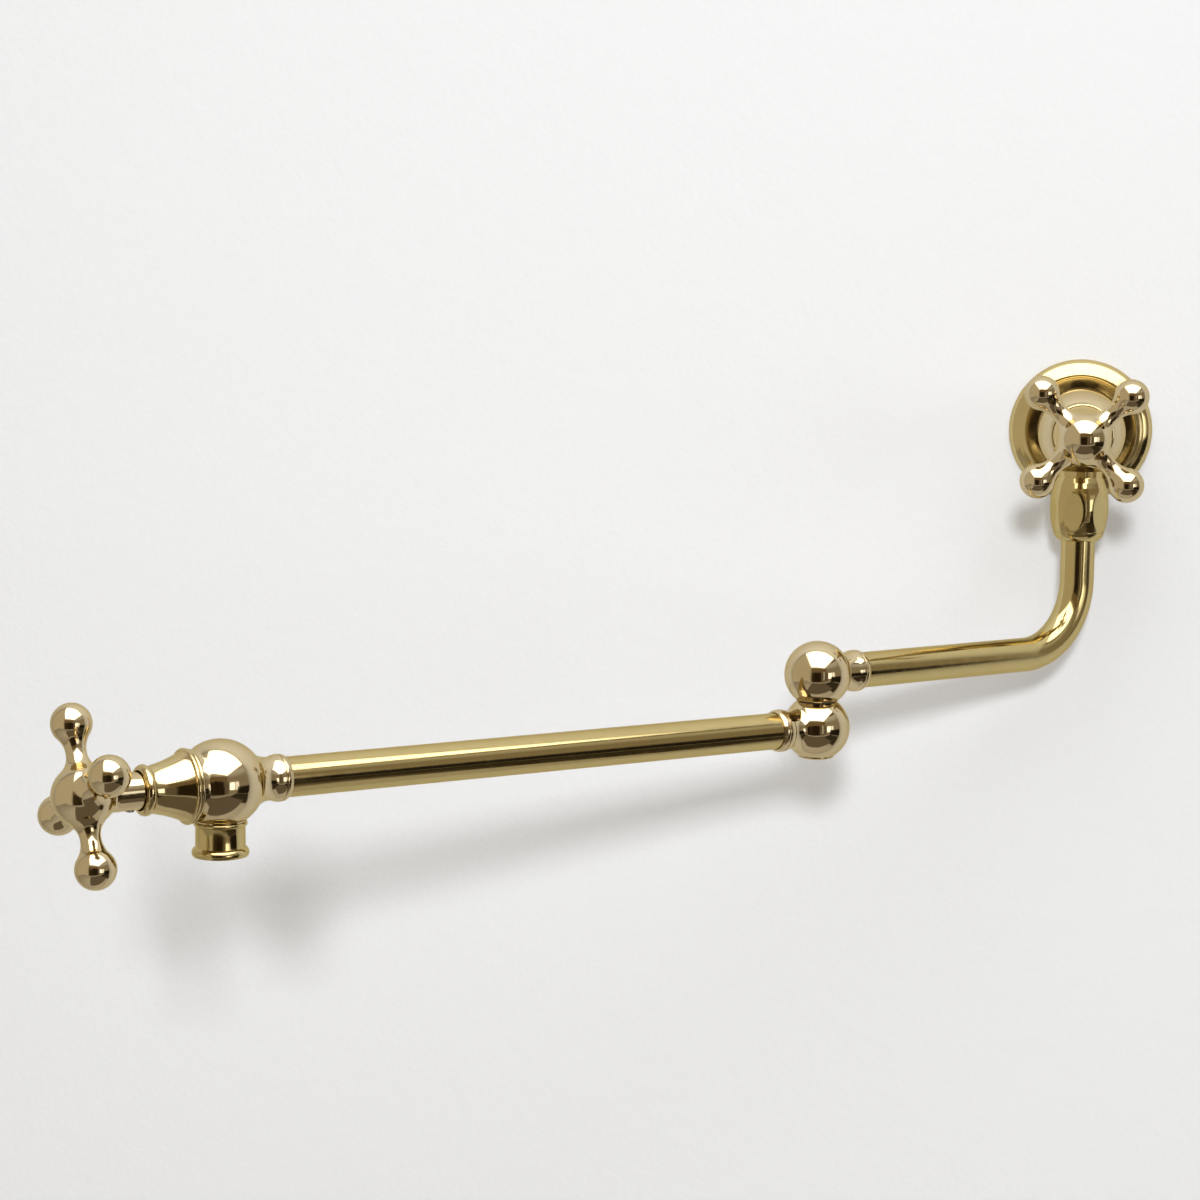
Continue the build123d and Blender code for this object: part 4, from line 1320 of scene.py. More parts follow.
@dataclass
class CrossHandle:
    """Hub, skirt and four ball-ended arms, cast in one and blended into each other."""

    plane: float = 49.6          # head's face to the plane of the arms
    hub: float = 14.5
    skirt: float = 8.6
    skirt_start: float = 14.5
    skirt_bore: float = 7.3
    skirt_room: float = 22.0
    arm: float = 4.65
    arm_fillet: float = 10.0
    ball: float = 9.4
    ball_at: float = 33.4
    ball_fillet: float = 12.0
    skirt_fillet: float = 5.0
    arm_from: Point = (1.05, 0.85)    # radians off the arm: its outline's start on the hub, and its arc
    skirt_from: Point = (1.2, 1.0)    # the same for the skirt's outline
    rim_round: Point = (0.4, 0.12)    # the skirt's rounded rim: its size, and its middle's
    count: int = 4
    voxel: float = 0.5
    thinned: int = 4             # the coarse arm keeps every fourth point of its outline
    arm_faces: int = 32
    core_faces: int = 48
    bore_faces: int = 64
    bore_past: float = 2.0       # how far the bore's tool reaches past the rim
    passes: int = 8
    easing: float = 0.6          # share of its neighbours' middle that a point takes in each pass
    rim_kept: float = 0.6        # millimetres of the rim that stay as they are

    def arm_outline(self) -> np.ndarray:
        """One arm's outline, from the hub's side to its tip.

        Returns:
            Rows of (radius, distance from the hub's centre).
        """
        on_hub, hub_middle, on_arm = ball_blend(self.hub, self.arm, self.arm_fillet)
        on_ball, ball_middle, off_arm = (
            (radius, self.ball_at - height)
            for radius, height in ball_blend(self.ball, self.arm, self.ball_fillet))
        start, middle = ((self.hub * math.sin(a), self.hub * math.cos(a)) for a in self.arm_from)
        outline = Profile(*start).arc(middle, on_hub).arc(hub_middle, on_arm).to(off_arm)
        outline.arc(ball_middle, on_ball).arc((self.ball, self.ball_at), (0.0, self.ball_at + self.ball))
        return np.array(outline.points)

    def skirt_outline(self) -> np.ndarray:
        """The skirt's outline, down to its rim.

        Returns:
            Rows of (radius, distance behind the hub's centre).
        """
        on_hub, middle, on_skirt = ball_blend(self.hub, self.skirt, self.skirt_fillet)
        start, between = ((self.hub * math.sin(a), self.hub * math.cos(a)) for a in self.skirt_from)
        rim = self.plane - self.skirt_start
        end, bulge = self.rim_round
        outline = Profile(*start).arc(between, on_hub).arc(middle, on_skirt).to((self.skirt, rim - end))
        return np.array(outline.arc((self.skirt - bulge, rim - bulge), (self.skirt - end, rim)).points)

    def rough(self, shop: Workshop, name: str) -> bpy.types.Object:
        """Coarse closed form that the smooth surface is drawn from.

        Args:
            shop: makes its meshes.
            name: of the object.
        Returns:
            The object, with evenly sized faces.
        """
        arm = [(radius, height) for radius, height in self.arm_outline()[::self.thinned]]
        spoke_line = Profile(0.0, 0.0).to(*arm[2:], (0.0, self.ball_at + self.ball))
        spoke = shop.turned(name, spoke_line, closed=False, segments=self.arm_faces, soft=0.0)
        spoke.data.transform(Matrix.Rotation(math.pi / 2, 4, "Y"))
        shop.grown(spoke, shop.spokes, count=self.count)
        rim = self.skirt_start - self.plane
        core_line = Profile(0.0, rim).to((self.skirt, rim), (self.skirt, -self.hub))
        core_line.arc((self.hub, 0.0), (0.0, self.hub))
        core = shop.turned(f"{name}_core", core_line, closed=False, segments=self.core_faces, soft=0.0)
        shop.combined(spoke, core, "UNION")
        remesh = spoke.modifiers.new("even", "REMESH")
        remesh.mode = "VOXEL"
        remesh.voxel_size = self.voxel
        return shop.baked(spoke)

    def drawn_in(self, places: np.ndarray) -> np.ndarray:
        """Each point's nearest place on the hub, the arm beside it or the skirt.

        Args:
            places: rows of points, with the hub's centre at the origin.
        Returns:
            Rows of the nearest places.
        """
        quarter = math.tau / self.count
        angle = np.arctan2(places[:, 1], places[:, 0])
        nearest = np.round(angle / quarter) * quarter
        along = np.stack([np.cos(nearest), np.sin(nearest), np.zeros(len(places))], 1)
        back = np.tile([0.0, 0.0, -1.0], (len(places), 1))
        length = np.linalg.norm(places, axis=1)
        best = length - self.hub
        drawn = places * (self.hub / length)[:, None]
        for outline, axis in ((self.arm_outline(), along), (self.skirt_outline(), back)):
            on_axis = (places * axis).sum(1)
            side = places - axis * on_axis[:, None]
            radius = np.linalg.norm(side, axis=1)
            spots, away = nearest_on_outline(np.stack([radius, on_axis], 1), outline)
            moved = axis * spots[:, 1:] + side * (spots[:, :1] / np.maximum(radius, 1e-9)[:, None])
            closer = (away < best) & (on_axis > outline[0, 1])
            best = np.where(closer, away, best)
            drawn = np.where(closer[:, None], moved, drawn)
        return drawn

    def settled(self, made: bpy.types.Object) -> None:
        """Evens the mesh out on the true surface.

        Args:
            made: the coarse form; its vertices are moved.
        """
        places = np.empty(len(made.data.vertices) * 3)
        made.data.vertices.foreach_get("co", places)
        places = places.reshape(-1, 3)
        pairs = np.empty(len(made.data.edges) * 2, dtype=np.int64)
        made.data.edges.foreach_get("vertices", pairs)
        pairs = pairs.reshape(-1, 2)
        links = np.bincount(pairs.ravel(), minlength=len(places))[:, None]
        rim = places[:, 2] < self.skirt_start - self.plane + self.rim_kept
        for _ in range(self.passes):
            middle = np.zeros_like(places)
            np.add.at(middle, pairs[:, 0], places[pairs[:, 1]])
            np.add.at(middle, pairs[:, 1], places[pairs[:, 0]])
            eased = self.drawn_in((1.0 - self.easing) * places + self.easing * middle / links)
            places = np.where(rim[:, None], places, eased)
        made.data.vertices.foreach_set("co", places.ravel())
        made.data.update()

    def build(self, shop: Workshop, prefix: str, place: Place, turn: float, body: str) -> None:
        """Makes one handle.

        Args:
            shop: makes its meshes.
            prefix: wall or end, as in the node's name.
            place: the head's frame, on the body's front face.
            turn: degrees from up to the first arm, clockwise as seen from the front.
            body: the body that it moves with.
        """
        name = f"{prefix}_cross_handle"
        made = self.rough(shop, name)
        self.settled(made)
        low, room = self.skirt_start - self.plane - self.bore_past, self.skirt_room - self.plane
        bore = Profile(0.0, low).to((self.skirt_bore, low), (self.skirt_bore, room), (0.0, room))
        tool = shop.turned("bore", bore, closed=False, segments=self.bore_faces, soft=0.0)
        shop.combined(made, tool, "DIFFERENCE")
        made.data.transform(Matrix.Rotation(math.radians(90.0 - turn), 4, "Z"))
        hub = place.shifted(self.plane)
        finish = CAST_BRASS.material(name, hub)
        shop.finished(made, hub, body, "polished_brass", finish, f"{prefix}_handle")


def nearest_on_outline(points: np.ndarray, outline: np.ndarray) -> tuple[np.ndarray, np.ndarray]:
    """Nearest places on an outline, and how far outside it each point lies.

    Args:
        points: rows of (radius, height).
        outline: rows of (radius, height); solid lies on the side of the axis.
    Returns:
        The nearest places and the signed distances.
    """
    nearest = np.zeros_like(points)
    away = np.full(len(points), np.inf)
    for start, end in zip(outline[:-1], outline[1:]):
        run = end - start
        share = np.clip(((points - start) @ run) / (run @ run), 0.0, 1.0)
        spot = start + share[:, None] * run
        gap = points - spot
        distance = np.hypot(gap[:, 0], gap[:, 1])
        outside = np.where(gap @ np.array([run[1], -run[0]]) >= 0.0, distance, -distance)
        closer = distance < np.abs(away)
        away = np.where(closer, outside, away)
        nearest = np.where(closer[:, None], spot, nearest)
    return nearest, away


# ---- Sub-assemblies ---------------------------------------------------------------------------------
@dataclass
class UnionNut:
    """Barrel nut under the wall valve, with six milled flats."""

    rim: float = 12.4
    rim_height: float = 3.4
    shoulder: float = 12.9
    belly: float = 16.2
    belly_at: float = 38.0
    lower: float = 14.4
    lower_at: float = 55.1
    groove: float = 13.8
    groove_end: float = 55.5
    ring: float = 14.25
    ring_middle: Point = (13.4, 57.9)
    end: float = 11.2
    end_at: float = 60.2
    flats: float = 15.3          # axis to the middle of a flat
    crown: float = 230.0         # the flats are ground to this radius lengthways
    crest: float = 36.0          # depth at which they stand out furthest
    sides: int = 6
    turn: float = 42.5           # degrees from +X to a flat
    edge: float = 0.3            # rounding between barrel and flats
    around: int = 288
    rows: int = 84
    bore: float = 9.8
    seat_at: float = 43.35
    room: float = 11.05
    soft: float = 0.16
    milled_from: Point = (0.1, 0.01)  # flats reach points this far inside the shoulder or past its end

    def barrel(self, top: float) -> list[Point]:
        """The barrel's outline as (radius, depth), finely divided.

        Args:
            top: depth of the nut's top below the inlet's axis.
        Returns:
            The outline's points, closed round the bore.
        """
        under_rim = top + self.rim_height
        arc = Profile(self.shoulder, under_rim)
        arc.arc((self.belly, self.belly_at), (self.lower, self.lower_at))
        depths = np.linspace(under_rim, self.lower_at, self.rows)
        radii = np.interp(depths, [p[1] for p in arc.points], [p[0] for p in arc.points])
        shown = Profile(self.rim, top).to((self.rim, under_rim), *zip(radii, depths))
        shown.to((self.groove, self.lower_at), (self.groove, self.groove_end),
                 (self.ring, self.groove_end))
        shown.arc(self.ring_middle, (self.end, self.end_at))
        shown.to((self.bore, self.end_at), (self.bore, self.seat_at), (self.room, self.seat_at),
                 (self.room, top))
        return shown.softened(closed=True, radius=self.soft)

    def radius(self, barrel: float, depth: float, angle: float) -> float:
        """The nut's radius where the barrel and its flats meet, with a soft edge.

        Args:
            barrel: the barrel's radius there.
            depth: below the inlet's axis.
            angle: round the nut, in radians.
        Returns:
            The smaller of the two, eased where they meet.
        """
        step = math.tau / self.sides
        off = (angle - math.radians(self.turn) + step / 2) % step - step / 2
        flat = (self.flats - (depth - self.crest) ** 2 / (2 * self.crown)) / math.cos(off)
        near = max(self.edge - abs(barrel - flat), 0.0)
        return min(barrel, flat) - near ** 2 / (4 * self.edge)

    def build(self, shop: Workshop, place: Place, top: float) -> None:
        """Makes the nut.

        Args:
            shop: makes its mesh.
            place: its frame, with the origin on the inlet's axis and +Z down.
            top: depth of the flat under the ball.
        """
        outline = self.barrel(top)
        verts, faces = [], []
        inner, deepest = self.shoulder - self.milled_from[0], self.lower_at + self.milled_from[1]
        for step in range(self.around):
            angle = math.tau * step / self.around
            for radius, depth in outline:
                milled = radius > inner and depth < deepest
                out = self.radius(radius, depth, angle) if milled else radius
                verts.append((out * math.cos(angle), out * math.sin(angle), depth))
        rows = len(outline)
        for step in range(self.around):
            here, on = step * rows, (step + 1) % self.around * rows
            for row in range(rows):
                under = (row + 1) % rows
                faces.append((here + row, here + under, on + under, on + row))
        mesh = bpy.data.meshes.new("union_nut_barrel")
        mesh.from_pydata(verts, [], faces)
        made = bpy.data.objects.new(mesh.name, mesh)
        bpy.context.scene.collection.objects.link(made)
        shop.outward(made)
        finish = NUT_BRASS.material(mesh.name, place)
        shop.finished(made, place, "wall_valve", "polished_brass", finish, "union_nut")


@dataclass
class WallValve:
    """Flange, ball body, union nut and head of the valve on the wall."""

    ball: float = 24.4
    shank: float = 13.0
    collar: float = 15.5
    inlet: float = 9.32
    inlet_depth: float = 15.0
    water: float = 8.0
    flange: WallFlange = field(default_factory=WallFlange)
    nut: UnionNut = field(default_factory=UnionNut)
    head: ValveHead = field(default_factory=ValveHead)
    handle: CrossHandle = field(default_factory=CrossHandle)
    handle_turn: float = 46.4

    def body_profile(self, offset: float) -> Profile:
        """Outline of the body: inlet, shank, ball, land and room.

        Args:
            offset: distance from the wall to the ball's centre.
        Returns:
            The outline, closed round the water way.
        """
        wall = -offset
        outline = Profile(self.inlet, wall).to((self.shank, wall), (self.shank, self.flange.depth - offset),
                                               (self.collar, self.flange.depth - offset),
                                               ball_point(self.ball, self.collar, -1.0))
        outline.arc((self.ball, 0.0), ball_point(self.ball, self.head.land))
        self.head.land_profile(outline, self.ball)
        seat_back = self.head.face(self.ball) - self.head.seat_depth - self.head.web
        return outline.to((self.water, seat_back), (self.water, wall + self.inlet_depth),
                          (self.inlet, wall + self.inlet_depth))

    def build(self, shop: Workshop, ball_centre: Vector) -> None:
        """Makes the valve on the wall.

        Args:
            shop: makes its meshes.
            ball_centre: the centre of its ball.
        """
        place = Place.facing(ball_centre, OUT)
        made = shop.turned("wall_ball_body", self.body_profile(-ball_centre.y))
        top = math.sqrt(self.ball ** 2 - self.nut.rim ** 2)
        shop.sliced(made, Vector((0.0, -top, 0.0)), Vector((0.0, -1.0, 0.0)))
        finish = CAST_BRASS.material("wall_ball_body", place)
        shop.finished(made, place, "wall_valve", "polished_brass", finish, "wall_valve_body")
        self.flange.build(shop, Place.facing(Vector(), OUT))
        self.nut.build(shop, Place.below(ball_centre), top)
        head = place.shifted(self.head.face(self.ball))
        self.head.build_bonnet(shop, "wall", head, "wall_valve")
        self.handle.build(shop, "wall", head, self.handle_turn, "wall_tap_handle")


@dataclass
class Outlet:
    """Nozzle under the end valve, with its aerator."""

    flange: float = 12.4
    flange_height: float = 2.3
    neck: float = 11.45
    neck_end: float = 12.0
    rim: Point = (13.1, 14.0)
    lip: float = 12.5
    end: float = 16.3
    aerator: float = 10.0
    aerator_seat: float = 6.8
    bore: float = 6.8
    thread: float = 8.5
    thread_height: float = 5.0
    screen: float = 8.7
    screen_depth: float = 14.6

    def profile(self) -> Profile:
        """Its outline from the boss's flat down.

        Returns:
            The outline, closed round the bore.
        """
        top = -self.thread_height
        outline = Profile(self.thread, top).to((self.thread, 0.0), (self.neck, 0.0))
        outline.arc((self.flange, self.flange_height / 2), (self.neck, self.flange_height))
        outline.to((self.neck, self.neck_end)).arc(self.rim, (self.lip, self.end))
        return outline.to((self.aerator, self.end), (self.aerator, self.aerator_seat),
                          (self.bore, self.aerator_seat), (self.bore, top))

    def build(self, shop: Workshop, place: Place) -> None:
        """Makes the nozzle and the woven screen.

        Args:
            shop: makes their meshes.
            place: their frame, on the boss's flat with +Z down.
        """
        made = shop.turned("nozzle_shell", self.profile())
        finish = NUT_BRASS.material("nozzle_shell", place)
        shop.finished(made, place, "lower_arm", "polished_brass", finish, "outlet_nozzle")
        screen = shop.chain("aerator_mesh", [(0.0, 0.0, 0.0), (0.0, 0.0, 1.0)], closed=False)
        shop.grown(screen, shop.weaving, disc_radius=self.screen)
        shop.finished(screen, place.shifted(self.screen_depth), "lower_arm", "stainless_steel",
                      STEEL.material("aerator_mesh"), "aerator_screen")


@dataclass
class EndValve:
    """Ball body at the end of the arm, with its head, handle and outlet."""

    fitting: TubeFitting = field(default_factory=lambda: TubeFitting(20.5, 11.5, 32.2))
    boss: float = 11.9
    boss_top: float = 13.0       # inside the ball
    boss_above_bead: float = 0.2
    head: ValveHead = field(default_factory=ValveHead)
    handle: CrossHandle = field(default_factory=CrossHandle)
    outlet: Outlet = field(default_factory=Outlet)
    handle_turn: float = -24.25

    def body_profile(self) -> Profile:
        """Outline of the body, from the head's room over the ball to the tube's socket (+Z).

        Returns:
            The outline, closed round the water way.
        """
        ball = self.fitting.ball
        seat_back = self.head.face(ball) - self.head.seat_depth - self.head.web
        front = self.head.land_profile(Profile(*ball_point(ball, self.head.land)), ball)
        mirrored = [(radius, -height) for radius, height in reversed(front.points)]
        outline = Profile(*mirrored[0]).to(*mirrored[1:])
        self.fitting.neck_profile(outline)
        return self.fitting.socket_profile(outline, -seat_back)

    def build(self, shop: Workshop, ball_centre: Vector, along: Vector) -> None:
        """Makes the end valve.

        Args:
            shop: makes its meshes.
            ball_centre: the centre of its ball.
            along: direction from the arm to the handle.
        """
        back = Place.facing(ball_centre, -along)
        bottom = self.head.bead_radius + self.boss_above_bead
        made = shop.turned("end_ball_body", self.body_profile())
        boss = Profile(0.0, self.boss_top)
        boss.to((self.boss, self.boss_top), (self.boss, bottom), (0.0, bottom))
        tool = shop.turned("boss", boss, closed=False, soft=0.0)
        tool.data.transform(Matrix.Rotation(math.pi / 2, 4, "X"))
        shop.sliced(made, Vector((0.0, -bottom, 0.0)), Vector((0.0, -1.0, 0.0)))
        shop.combined(made, tool, "UNION")
        finish = CAST_BRASS.material("end_ball_body", back)
        shop.finished(made, back, "lower_arm", "polished_brass", finish, "end_valve_body")
        head = Place.facing(ball_centre, along).shifted(self.head.face(self.fitting.ball))
        self.head.build_bonnet(shop, "end", head, "lower_arm")
        self.handle.build(shop, "end", head, self.handle_turn, "end_tap_handle")
        self.outlet.build(shop, Place.below(ball_centre).shifted(bottom))


@dataclass
class PotFiller:
    """The whole object: both valves, the tubes between them and the elbow."""

    wall: WallValve = field(default_factory=WallValve)
    end: EndValve = field(default_factory=EndValve)
    elbow: Elbow = field(default_factory=Elbow)
    tubes: Tubes = field(default_factory=Tubes)
    swivel_depth: float = 42.25  # inlet axis down to the drop tube's start

    def build(self, shop: Workshop) -> None:
        """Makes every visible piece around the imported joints.

        Args:
            shop: makes its meshes.
        """
        wall_ball = Vector((0.0, joint_point("wall_swivel").y, 0.0))
        lower = joint_point("elbow_swivel")
        upper = Vector((lower.x, lower.y, centre_height("drop_tube")))
        self.wall.build(shop, wall_ball)
        corner = Vector((wall_ball.x, wall_ball.y, upper.z))
        upper_dir = (upper - corner).normalized()
        lower_dir = Vector(joint("end_handle_turn")["axis"])
        start = wall_ball - UP * self.swivel_depth
        inset = self.elbow.upper.collar_end - self.elbow.upper.socket_depth
        bend_line = self.tubes.bent_line(start, corner, upper - upper_dir * inset)
        self.tubes.build(shop, "drop_pipe", bend_line, "upper_arm", "drop_tube",
                         TUBE_BRASS.material("drop_pipe", Place.facing(upper, upper_dir)))
        self.elbow.build(shop, Place.facing(upper, -upper_dir), Place.facing(lower, lower_dir))
        face = joint_point("end_handle_turn")
        spout = face - lower_dir * self.end.head.face(self.end.fitting.ball)
        near = lower + lower_dir * (self.elbow.lower.collar_end - self.elbow.lower.socket_depth)
        far = spout - lower_dir * (self.end.fitting.collar_end - self.end.fitting.socket_depth)
        self.tubes.build(shop, "arm_pipe", [near, far], "lower_arm", "arm_tube",
                         TUBE_BRASS.material("arm_pipe", Place.facing(lower, lower_dir)))
        self.end.build(shop, spout, lower_dir)
        self.dress_inner_pieces()

    @staticmethod
    def dress_inner_pieces() -> None:
        """Gives each solid that stays its finish, by its slot in the record."""
        finishes = {"machined_brass": MACHINED_BRASS, "stainless_steel": STEEL, "rubber": RUBBER,
                    "ptfe": SEAM_SHADE_PLASTIC, "ceramic": CERAMIC, "aerator_plastic": AERATOR_PLASTIC}
        made = {name: finish.material(name) for name, finish in finishes.items()}
        for row in frame["record"]["subparts"]:
            node = frame["nodes"][row["node"]]
            if node.hide_render or row["material_slot"] not in made:
                continue
            material = made[row["material_slot"]]
            node.data.materials.clear()
            node.data.materials.append(material)
            LOG.info("%s: finish %s", node.name, material.name)


def centre_height(node: str) -> float:
    """Height in millimetres of a bent tube's level run, from the lowest point of its solid."""
    low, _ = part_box(node)
    return low.z / MM + Tubes().outer


# ---- Studio -----------------------------------------------------------------------------------------
@dataclass(frozen=True)
class Panel:
    """A soft rectangular lamp, which neither the camera nor the metal sees."""

    name: str
    place: tuple[float, float, float]
    target: tuple[float, float, float]
    size: tuple[float, float]
    power: float                 # watts
    colour: Colour

    def build(self) -> None:
        """Adds the lamp."""
        light = bpy.data.lights.new(self.name, "AREA")
        light.shape = "RECTANGLE"
        light.size, light.size_y = self.size
        light.energy = self.power
        light.color = self.colour
        lamp = bpy.data.objects.new(self.name, light)
        bpy.context.scene.collection.objects.link(lamp)
        lamp.location = self.place
        lamp.rotation_euler = (Vector(self.target) - Vector(self.place)).to_track_quat("-Z", "Y").to_euler()
        lamp.visible_camera = lamp.visible_glossy = False
        LOG.info("lamp %s", self.name)


@dataclass(frozen=True)
class Card:
    """A flat card with soft edges that only shows in the metal, as a photographer sets it up."""

    name: str
    place: tuple[float, float, float]
    size: tuple[float, float]
    glow: Colour
    target: tuple[float, float, float] = (-0.2, -0.2, -0.1)
    soft: float = 0.10           # metres over which it fades out at its edges

    def build(self) -> None:
        """Adds the card."""
        mesh = bpy.data.meshes.new(self.name)
        w, h = self.size[0] / 2, self.size[1] / 2
        mesh.from_pydata([(-w, -h, 0), (w, -h, 0), (w, h, 0), (-w, h, 0)], [], [(0, 1, 2, 3)])
        card = bpy.data.objects.new(self.name, mesh)
        bpy.context.scene.collection.objects.link(card)
        card.location = self.place
        card.rotation_euler = (Vector(self.target) - Vector(self.place)).to_track_quat("Z", "Y").to_euler()
        material, graph = empty_material(self.name)
        spot = graph.add("ShaderNodeTexCoord").outputs["Object"]
        part = graph.add("ShaderNodeSeparateXYZ", {0: spot})
        off = (graph.maths("ABSOLUTE", part.outputs[axis]) for axis in (0, 1))
        inside = (graph.between(distance, half - self.soft, half, 1.0, 0.0)
                  for distance, half in zip(off, (w, h)))
        clear = graph.add("ShaderNodeBsdfTransparent")
        glow = graph.add("ShaderNodeEmission", {"Color": (*self.glow, 1.0)})
        both = graph.add("ShaderNodeMixShader", {0: graph.maths("MULTIPLY", *inside),
                                                 1: clear.outputs[0], 2: glow.outputs[0]})
        graph.add("ShaderNodeOutputMaterial", {0: both.outputs[0]})
        mesh.materials.append(material)
        card.visible_camera = card.visible_diffuse = card.visible_shadow = False
        LOG.info("card %s", self.name)


@dataclass(frozen=True)
class RoomPatch:
    """One part of the room as the metal mirrors it, by its directions in degrees."""

    across: tuple[float, float]  # from straight out of the wall, to the right
    up: tuple[float, float]      # from level
    glow: Colour
    soft: float = 2.0

    def over(self, graph: Graph, across: SocketValue, up: SocketValue,
             room: SocketValue) -> bpy.types.NodeSocket:
        """Lays the patch over the rest of the room.

        Args:
            graph: of the world.
            across, up: the direction that is looked in, in degrees.
            room: the colour so far.
        Returns:
            The colour with the patch in it.
        """
        share: SocketValue = 1.0
        for angle, (low, high) in ((across, self.across), (up, self.up)):
            rise = graph.between(angle, low - self.soft, low + self.soft)
            fall = graph.between(angle, high - self.soft, high + self.soft, 1.0, 0.0)
            share = graph.maths("MULTIPLY", share, graph.maths("MULTIPLY", rise, fall))
        return graph.blend(share, room, (*self.glow, 1.0))


ROOM = (
    RoomPatch((-200.0, 200.0), (26.0, 95.0), (0.60, 0.58, 0.54), 6.0),    # ceiling
    RoomPatch((-140.0, -20.0), (-60.0, 58.0), (0.66, 0.60, 0.49), 5.0),   # wall on the left
    RoomPatch((-18.0, 36.0), (12.0, 27.0), (0.22, 0.155, 0.08), 2.0),     # beam over the doorway
    RoomPatch((-16.0, 13.0), (-50.0, 12.0), (0.050, 0.034, 0.016), 2.0),  # doorway
    RoomPatch((13.0, 40.0), (-30.0, 12.0), (0.17, 0.135, 0.10), 2.0),     # cupboard
    RoomPatch((26.0, 27.6), (-14.0, 14.0), (1.5, 1.45, 1.35), 0.5),       # its bright edge
    RoomPatch((42.0, 55.0), (-8.0, 10.0), (2.8, 2.8, 2.8), 0.7),          # window
    RoomPatch((57.0, 66.0), (-8.0, 10.0), (1.6, 1.6, 1.6), 0.7),
    RoomPatch((66.0, 110.0), (-40.0, -6.0), (0.02, 0.016, 0.010), 3.0),   # dark cupboard
    RoomPatch((50.0, 110.0), (39.0, 44.0), (0.16, 0.11, 0.05), 1.5),      # beam
)


LAMPS = (
    Panel("overhead", (-0.22, -2.05, 1.7), (-0.22, -2.05, 0.0), (2.4, 2.2), 31.5, (0.97, 0.985, 1.0)),
    Panel("fill", (0.06, -2.62, 0.63), (-0.2, -0.1, -0.1), (0.22, 0.22), 33.0, (0.96, 0.98, 1.0)),
)

CARDS = (
    Card("bright_ceiling", (0.17, -1.48, 1.5), (2.7, 2.92), (4.2, 4.15, 4.05), (0.17, -1.48, 0.0), 0.16),
    Card("front_flag", (-0.02, -1.75, -0.22), (0.78, 1.0), (0.028, 0.018, 0.009)),
    Card("side_flag", (1.5, -0.75, -0.45), (1.3, 0.6), (0.02, 0.016, 0.01)),
    Card("worktop", (0.1, -1.25, -0.95), (1.6, 1.5), (0.17, 0.14, 0.11), (0.1, -1.25, 0.0)),
    Card("dark_worktop", (1.3, -1.0, -0.96), (1.5, 1.7), (0.05, 0.04, 0.025), (1.3, -1.0, 0.0)),
)


@dataclass(frozen=True)
class PhotoCamera:
    """The camera, where the photograph was taken from. Angles in degrees, place in metres."""

    place: tuple[float, float, float] = (-0.03048, -1.54054, 0.06555)
    pitch: float = 6.341
    yaw: float = -9.222
    roll: float = 0.764
    focal: float = 2611.76       # in pixels of the photograph
    image: float = 1200.0        # the photograph's width in pixels
    sensor: float = 36.0         # millimetres
    farthest: float = 50.0       # metres that it sees

    def build(self) -> None:
        """Adds the camera and makes it the scene's."""
        data = bpy.data.cameras.new("photo_camera")
        data.sensor_width = self.sensor
        data.lens = self.sensor * self.focal / self.image
        data.clip_end = self.farthest
        camera = bpy.data.objects.new("photo_camera", data)
        bpy.context.scene.collection.objects.link(camera)
        pitch, yaw, roll = (math.radians(a) for a in (self.pitch, self.yaw, self.roll))
        ahead = Vector((math.sin(yaw) * math.cos(pitch), math.cos(yaw) * math.cos(pitch), -math.sin(pitch)))
        right = Vector((math.cos(yaw), -math.sin(yaw), 0.0))
        upward = right.cross(ahead)
        rolled = (right * math.cos(roll) + upward * math.sin(roll),
                  upward * math.cos(roll) - right * math.sin(roll), -ahead)
        camera.matrix_world = Matrix.Translation(self.place) @ Matrix(rolled).transposed().to_4x4()
        bpy.context.scene.camera = camera
        LOG.info("camera with a %.1f mm lens", data.lens)


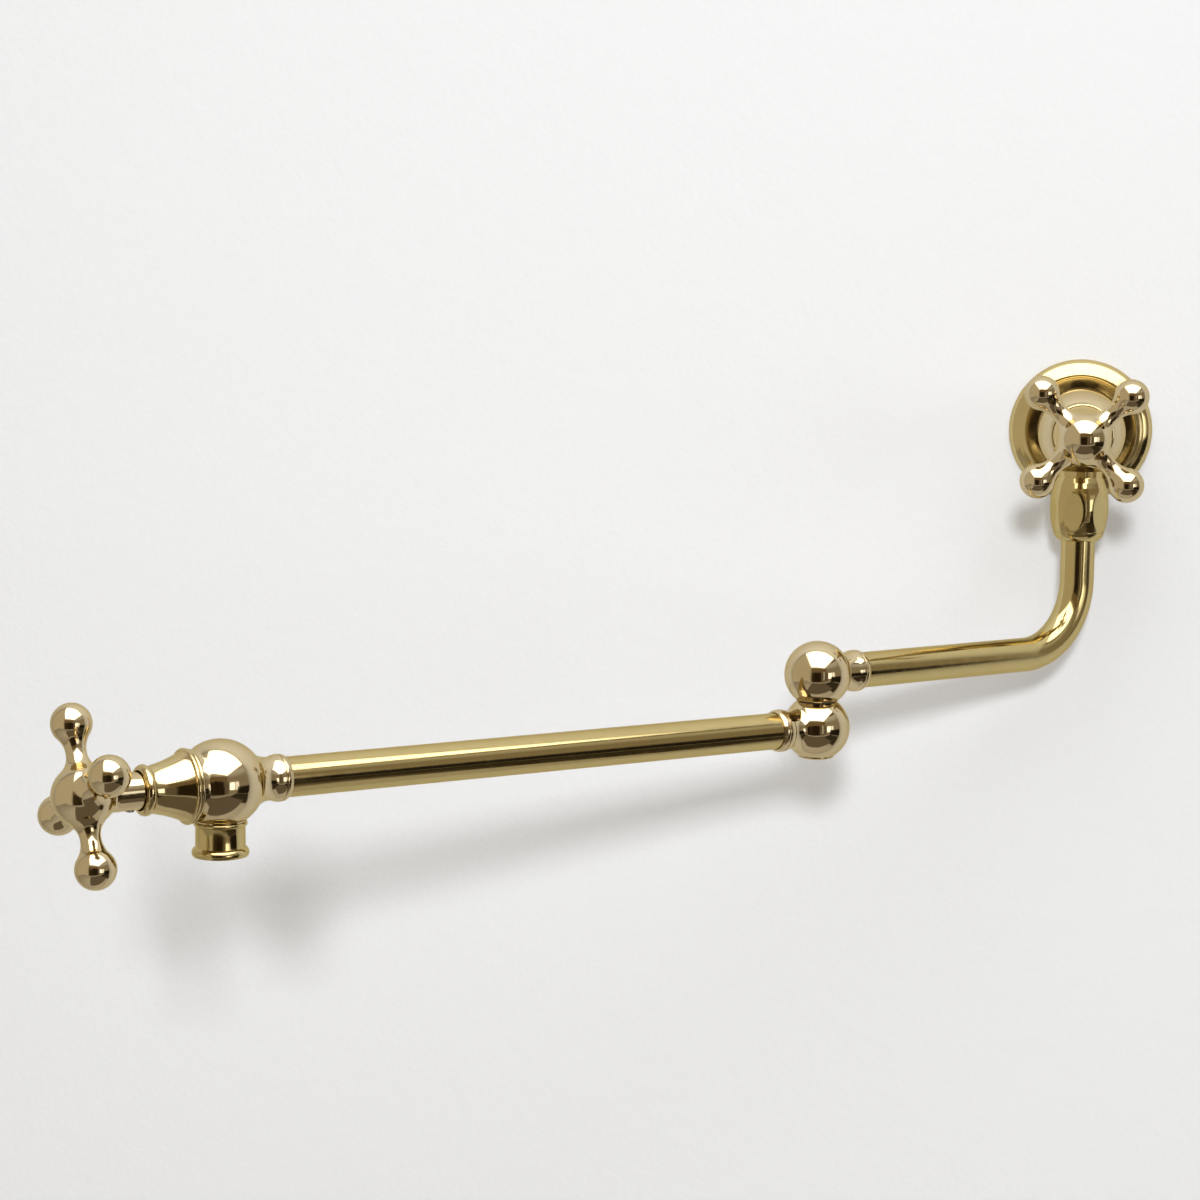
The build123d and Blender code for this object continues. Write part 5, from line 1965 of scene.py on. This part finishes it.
@dataclass
class Studio:
    """White plaster wall, pale floor, the room's glow, two soft lamps and the cards for the metal."""

    wall_size: float = 8.0
    wall_paint: Colour = (0.81, 0.827, 0.862)
    floor_drop: float = 1.6
    floor_paint: Colour = (0.60, 0.575, 0.54)
    grain_depth: float = 0.0007  # metres
    grain_strength: float = 0.55
    far_room: Colour = (0.34, 0.29, 0.22)
    backdrop: Colour = (0.9, 0.9, 0.9)
    room_light: float = 0.9      # share of the room's glow that falls on matt surfaces
    behind: float = 0.0004       # the wall's plane lies this far behind the flange

    def surface(self, name: str, corners: list[Vector], material: bpy.types.Material) -> None:
        """Adds one flat piece of the studio, which can't be seen from its back.

        Args:
            name: of the object.
            corners: its four corners, in metres.
            material: its paint.
        """
        mesh = bpy.data.meshes.new(name)
        mesh.from_pydata(corners, [], [(0, 1, 2, 3)])
        made = bpy.data.objects.new(name, mesh)
        bpy.context.scene.collection.objects.link(made)
        mesh.materials.append(material)

    def plaster(self, name: str, colour: Colour) -> bpy.types.Material:
        """Matt paint on rolled plaster, clear from behind.

        Args:
            name: of the material.
            colour: of the paint.
        Returns:
            The material.
        """
        material, graph = empty_material(name)
        where = graph.add("ShaderNodeTexCoord").outputs["Object"]
        fine = graph.noise(where, scale=330.0, detail=3.0, roughness=0.6)
        broad = graph.noise(where, scale=95.0, detail=2.0, roughness=0.5)
        height = graph.maths("ADD", graph.maths("MULTIPLY", fine, 0.5), broad)
        bump = graph.add("ShaderNodeBump", {"Height": height, "Distance": self.grain_depth,
                                            "Strength": self.grain_strength})
        paint = graph.add("ShaderNodeBsdfPrincipled", {
            "Base Color": (*colour, 1.0), "Roughness": 0.7, "Normal": bump.outputs[0]})
        clear = graph.add("ShaderNodeBsdfTransparent")
        side = graph.add("ShaderNodeNewGeometry").outputs["Backfacing"]
        both = graph.add("ShaderNodeMixShader", {0: side, 1: paint.outputs[0], 2: clear.outputs[0]})
        graph.add("ShaderNodeOutputMaterial", {0: both.outputs[0]})
        return material

    def world(self) -> None:
        """Pale for the camera; for light and metal a room, patch by patch."""
        world = bpy.data.worlds.new("studio")
        bpy.context.scene.world = world
        world.use_nodes = True
        graph = Graph(world.node_tree)
        where = graph.add("ShaderNodeTexCoord").outputs["Generated"]
        part = graph.add("ShaderNodeSeparateXYZ", {0: where})
        out = graph.maths("MULTIPLY", part.outputs[1], -1.0)
        across, up = (graph.maths("DEGREES", angle) for angle in (
            graph.maths("ARCTAN2", part.outputs[0], out), graph.maths("ARCSINE", part.outputs[2])))
        room: SocketValue = (*self.far_room, 1.0)
        for patch in ROOM:
            room = patch.over(graph, across, up, room)
        path = graph.add("ShaderNodeLightPath")
        dim = graph.add("ShaderNodeVectorMath", {0: room, "Scale": self.room_light}, operation="SCALE")
        lit = graph.blend(path.outputs["Is Diffuse Ray"], room, dim.outputs[0])
        seen = graph.blend(path.outputs["Is Camera Ray"], lit, (*self.backdrop, 1.0))
        back = graph.add("ShaderNodeBackground", {"Color": seen, "Strength": 1.0})
        graph.add("ShaderNodeOutputWorld", {0: back.outputs[0]})

    def build(self) -> None:
        """Sets the studio up."""
        half, low, back = self.wall_size / 2, -self.floor_drop, self.behind
        self.surface("studio_wall", [Vector((-half, back, low)), Vector((half, back, low)),
                                     Vector((half, back, half)), Vector((-half, back, half))],
                     self.plaster("plaster", self.wall_paint))
        self.surface("studio_floor", [Vector((-half, -half, low)), Vector((half, -half, low)),
                                      Vector((half, back, low)), Vector((-half, back, low))],
                     self.plaster("pale_floor", self.floor_paint))
        self.world()
        for piece in (*LAMPS, *CARDS):
            piece.build()
        PhotoCamera().build()
        bpy.context.scene.view_settings.view_transform = "Standard"


def main() -> None:
    """Builds the object and its studio."""
    logging.basicConfig(level=logging.INFO, format="%(message)s")
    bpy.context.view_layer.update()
    PotFiller().build(Workshop())
    Studio().build()


if __name__ == "__main__":
    main()
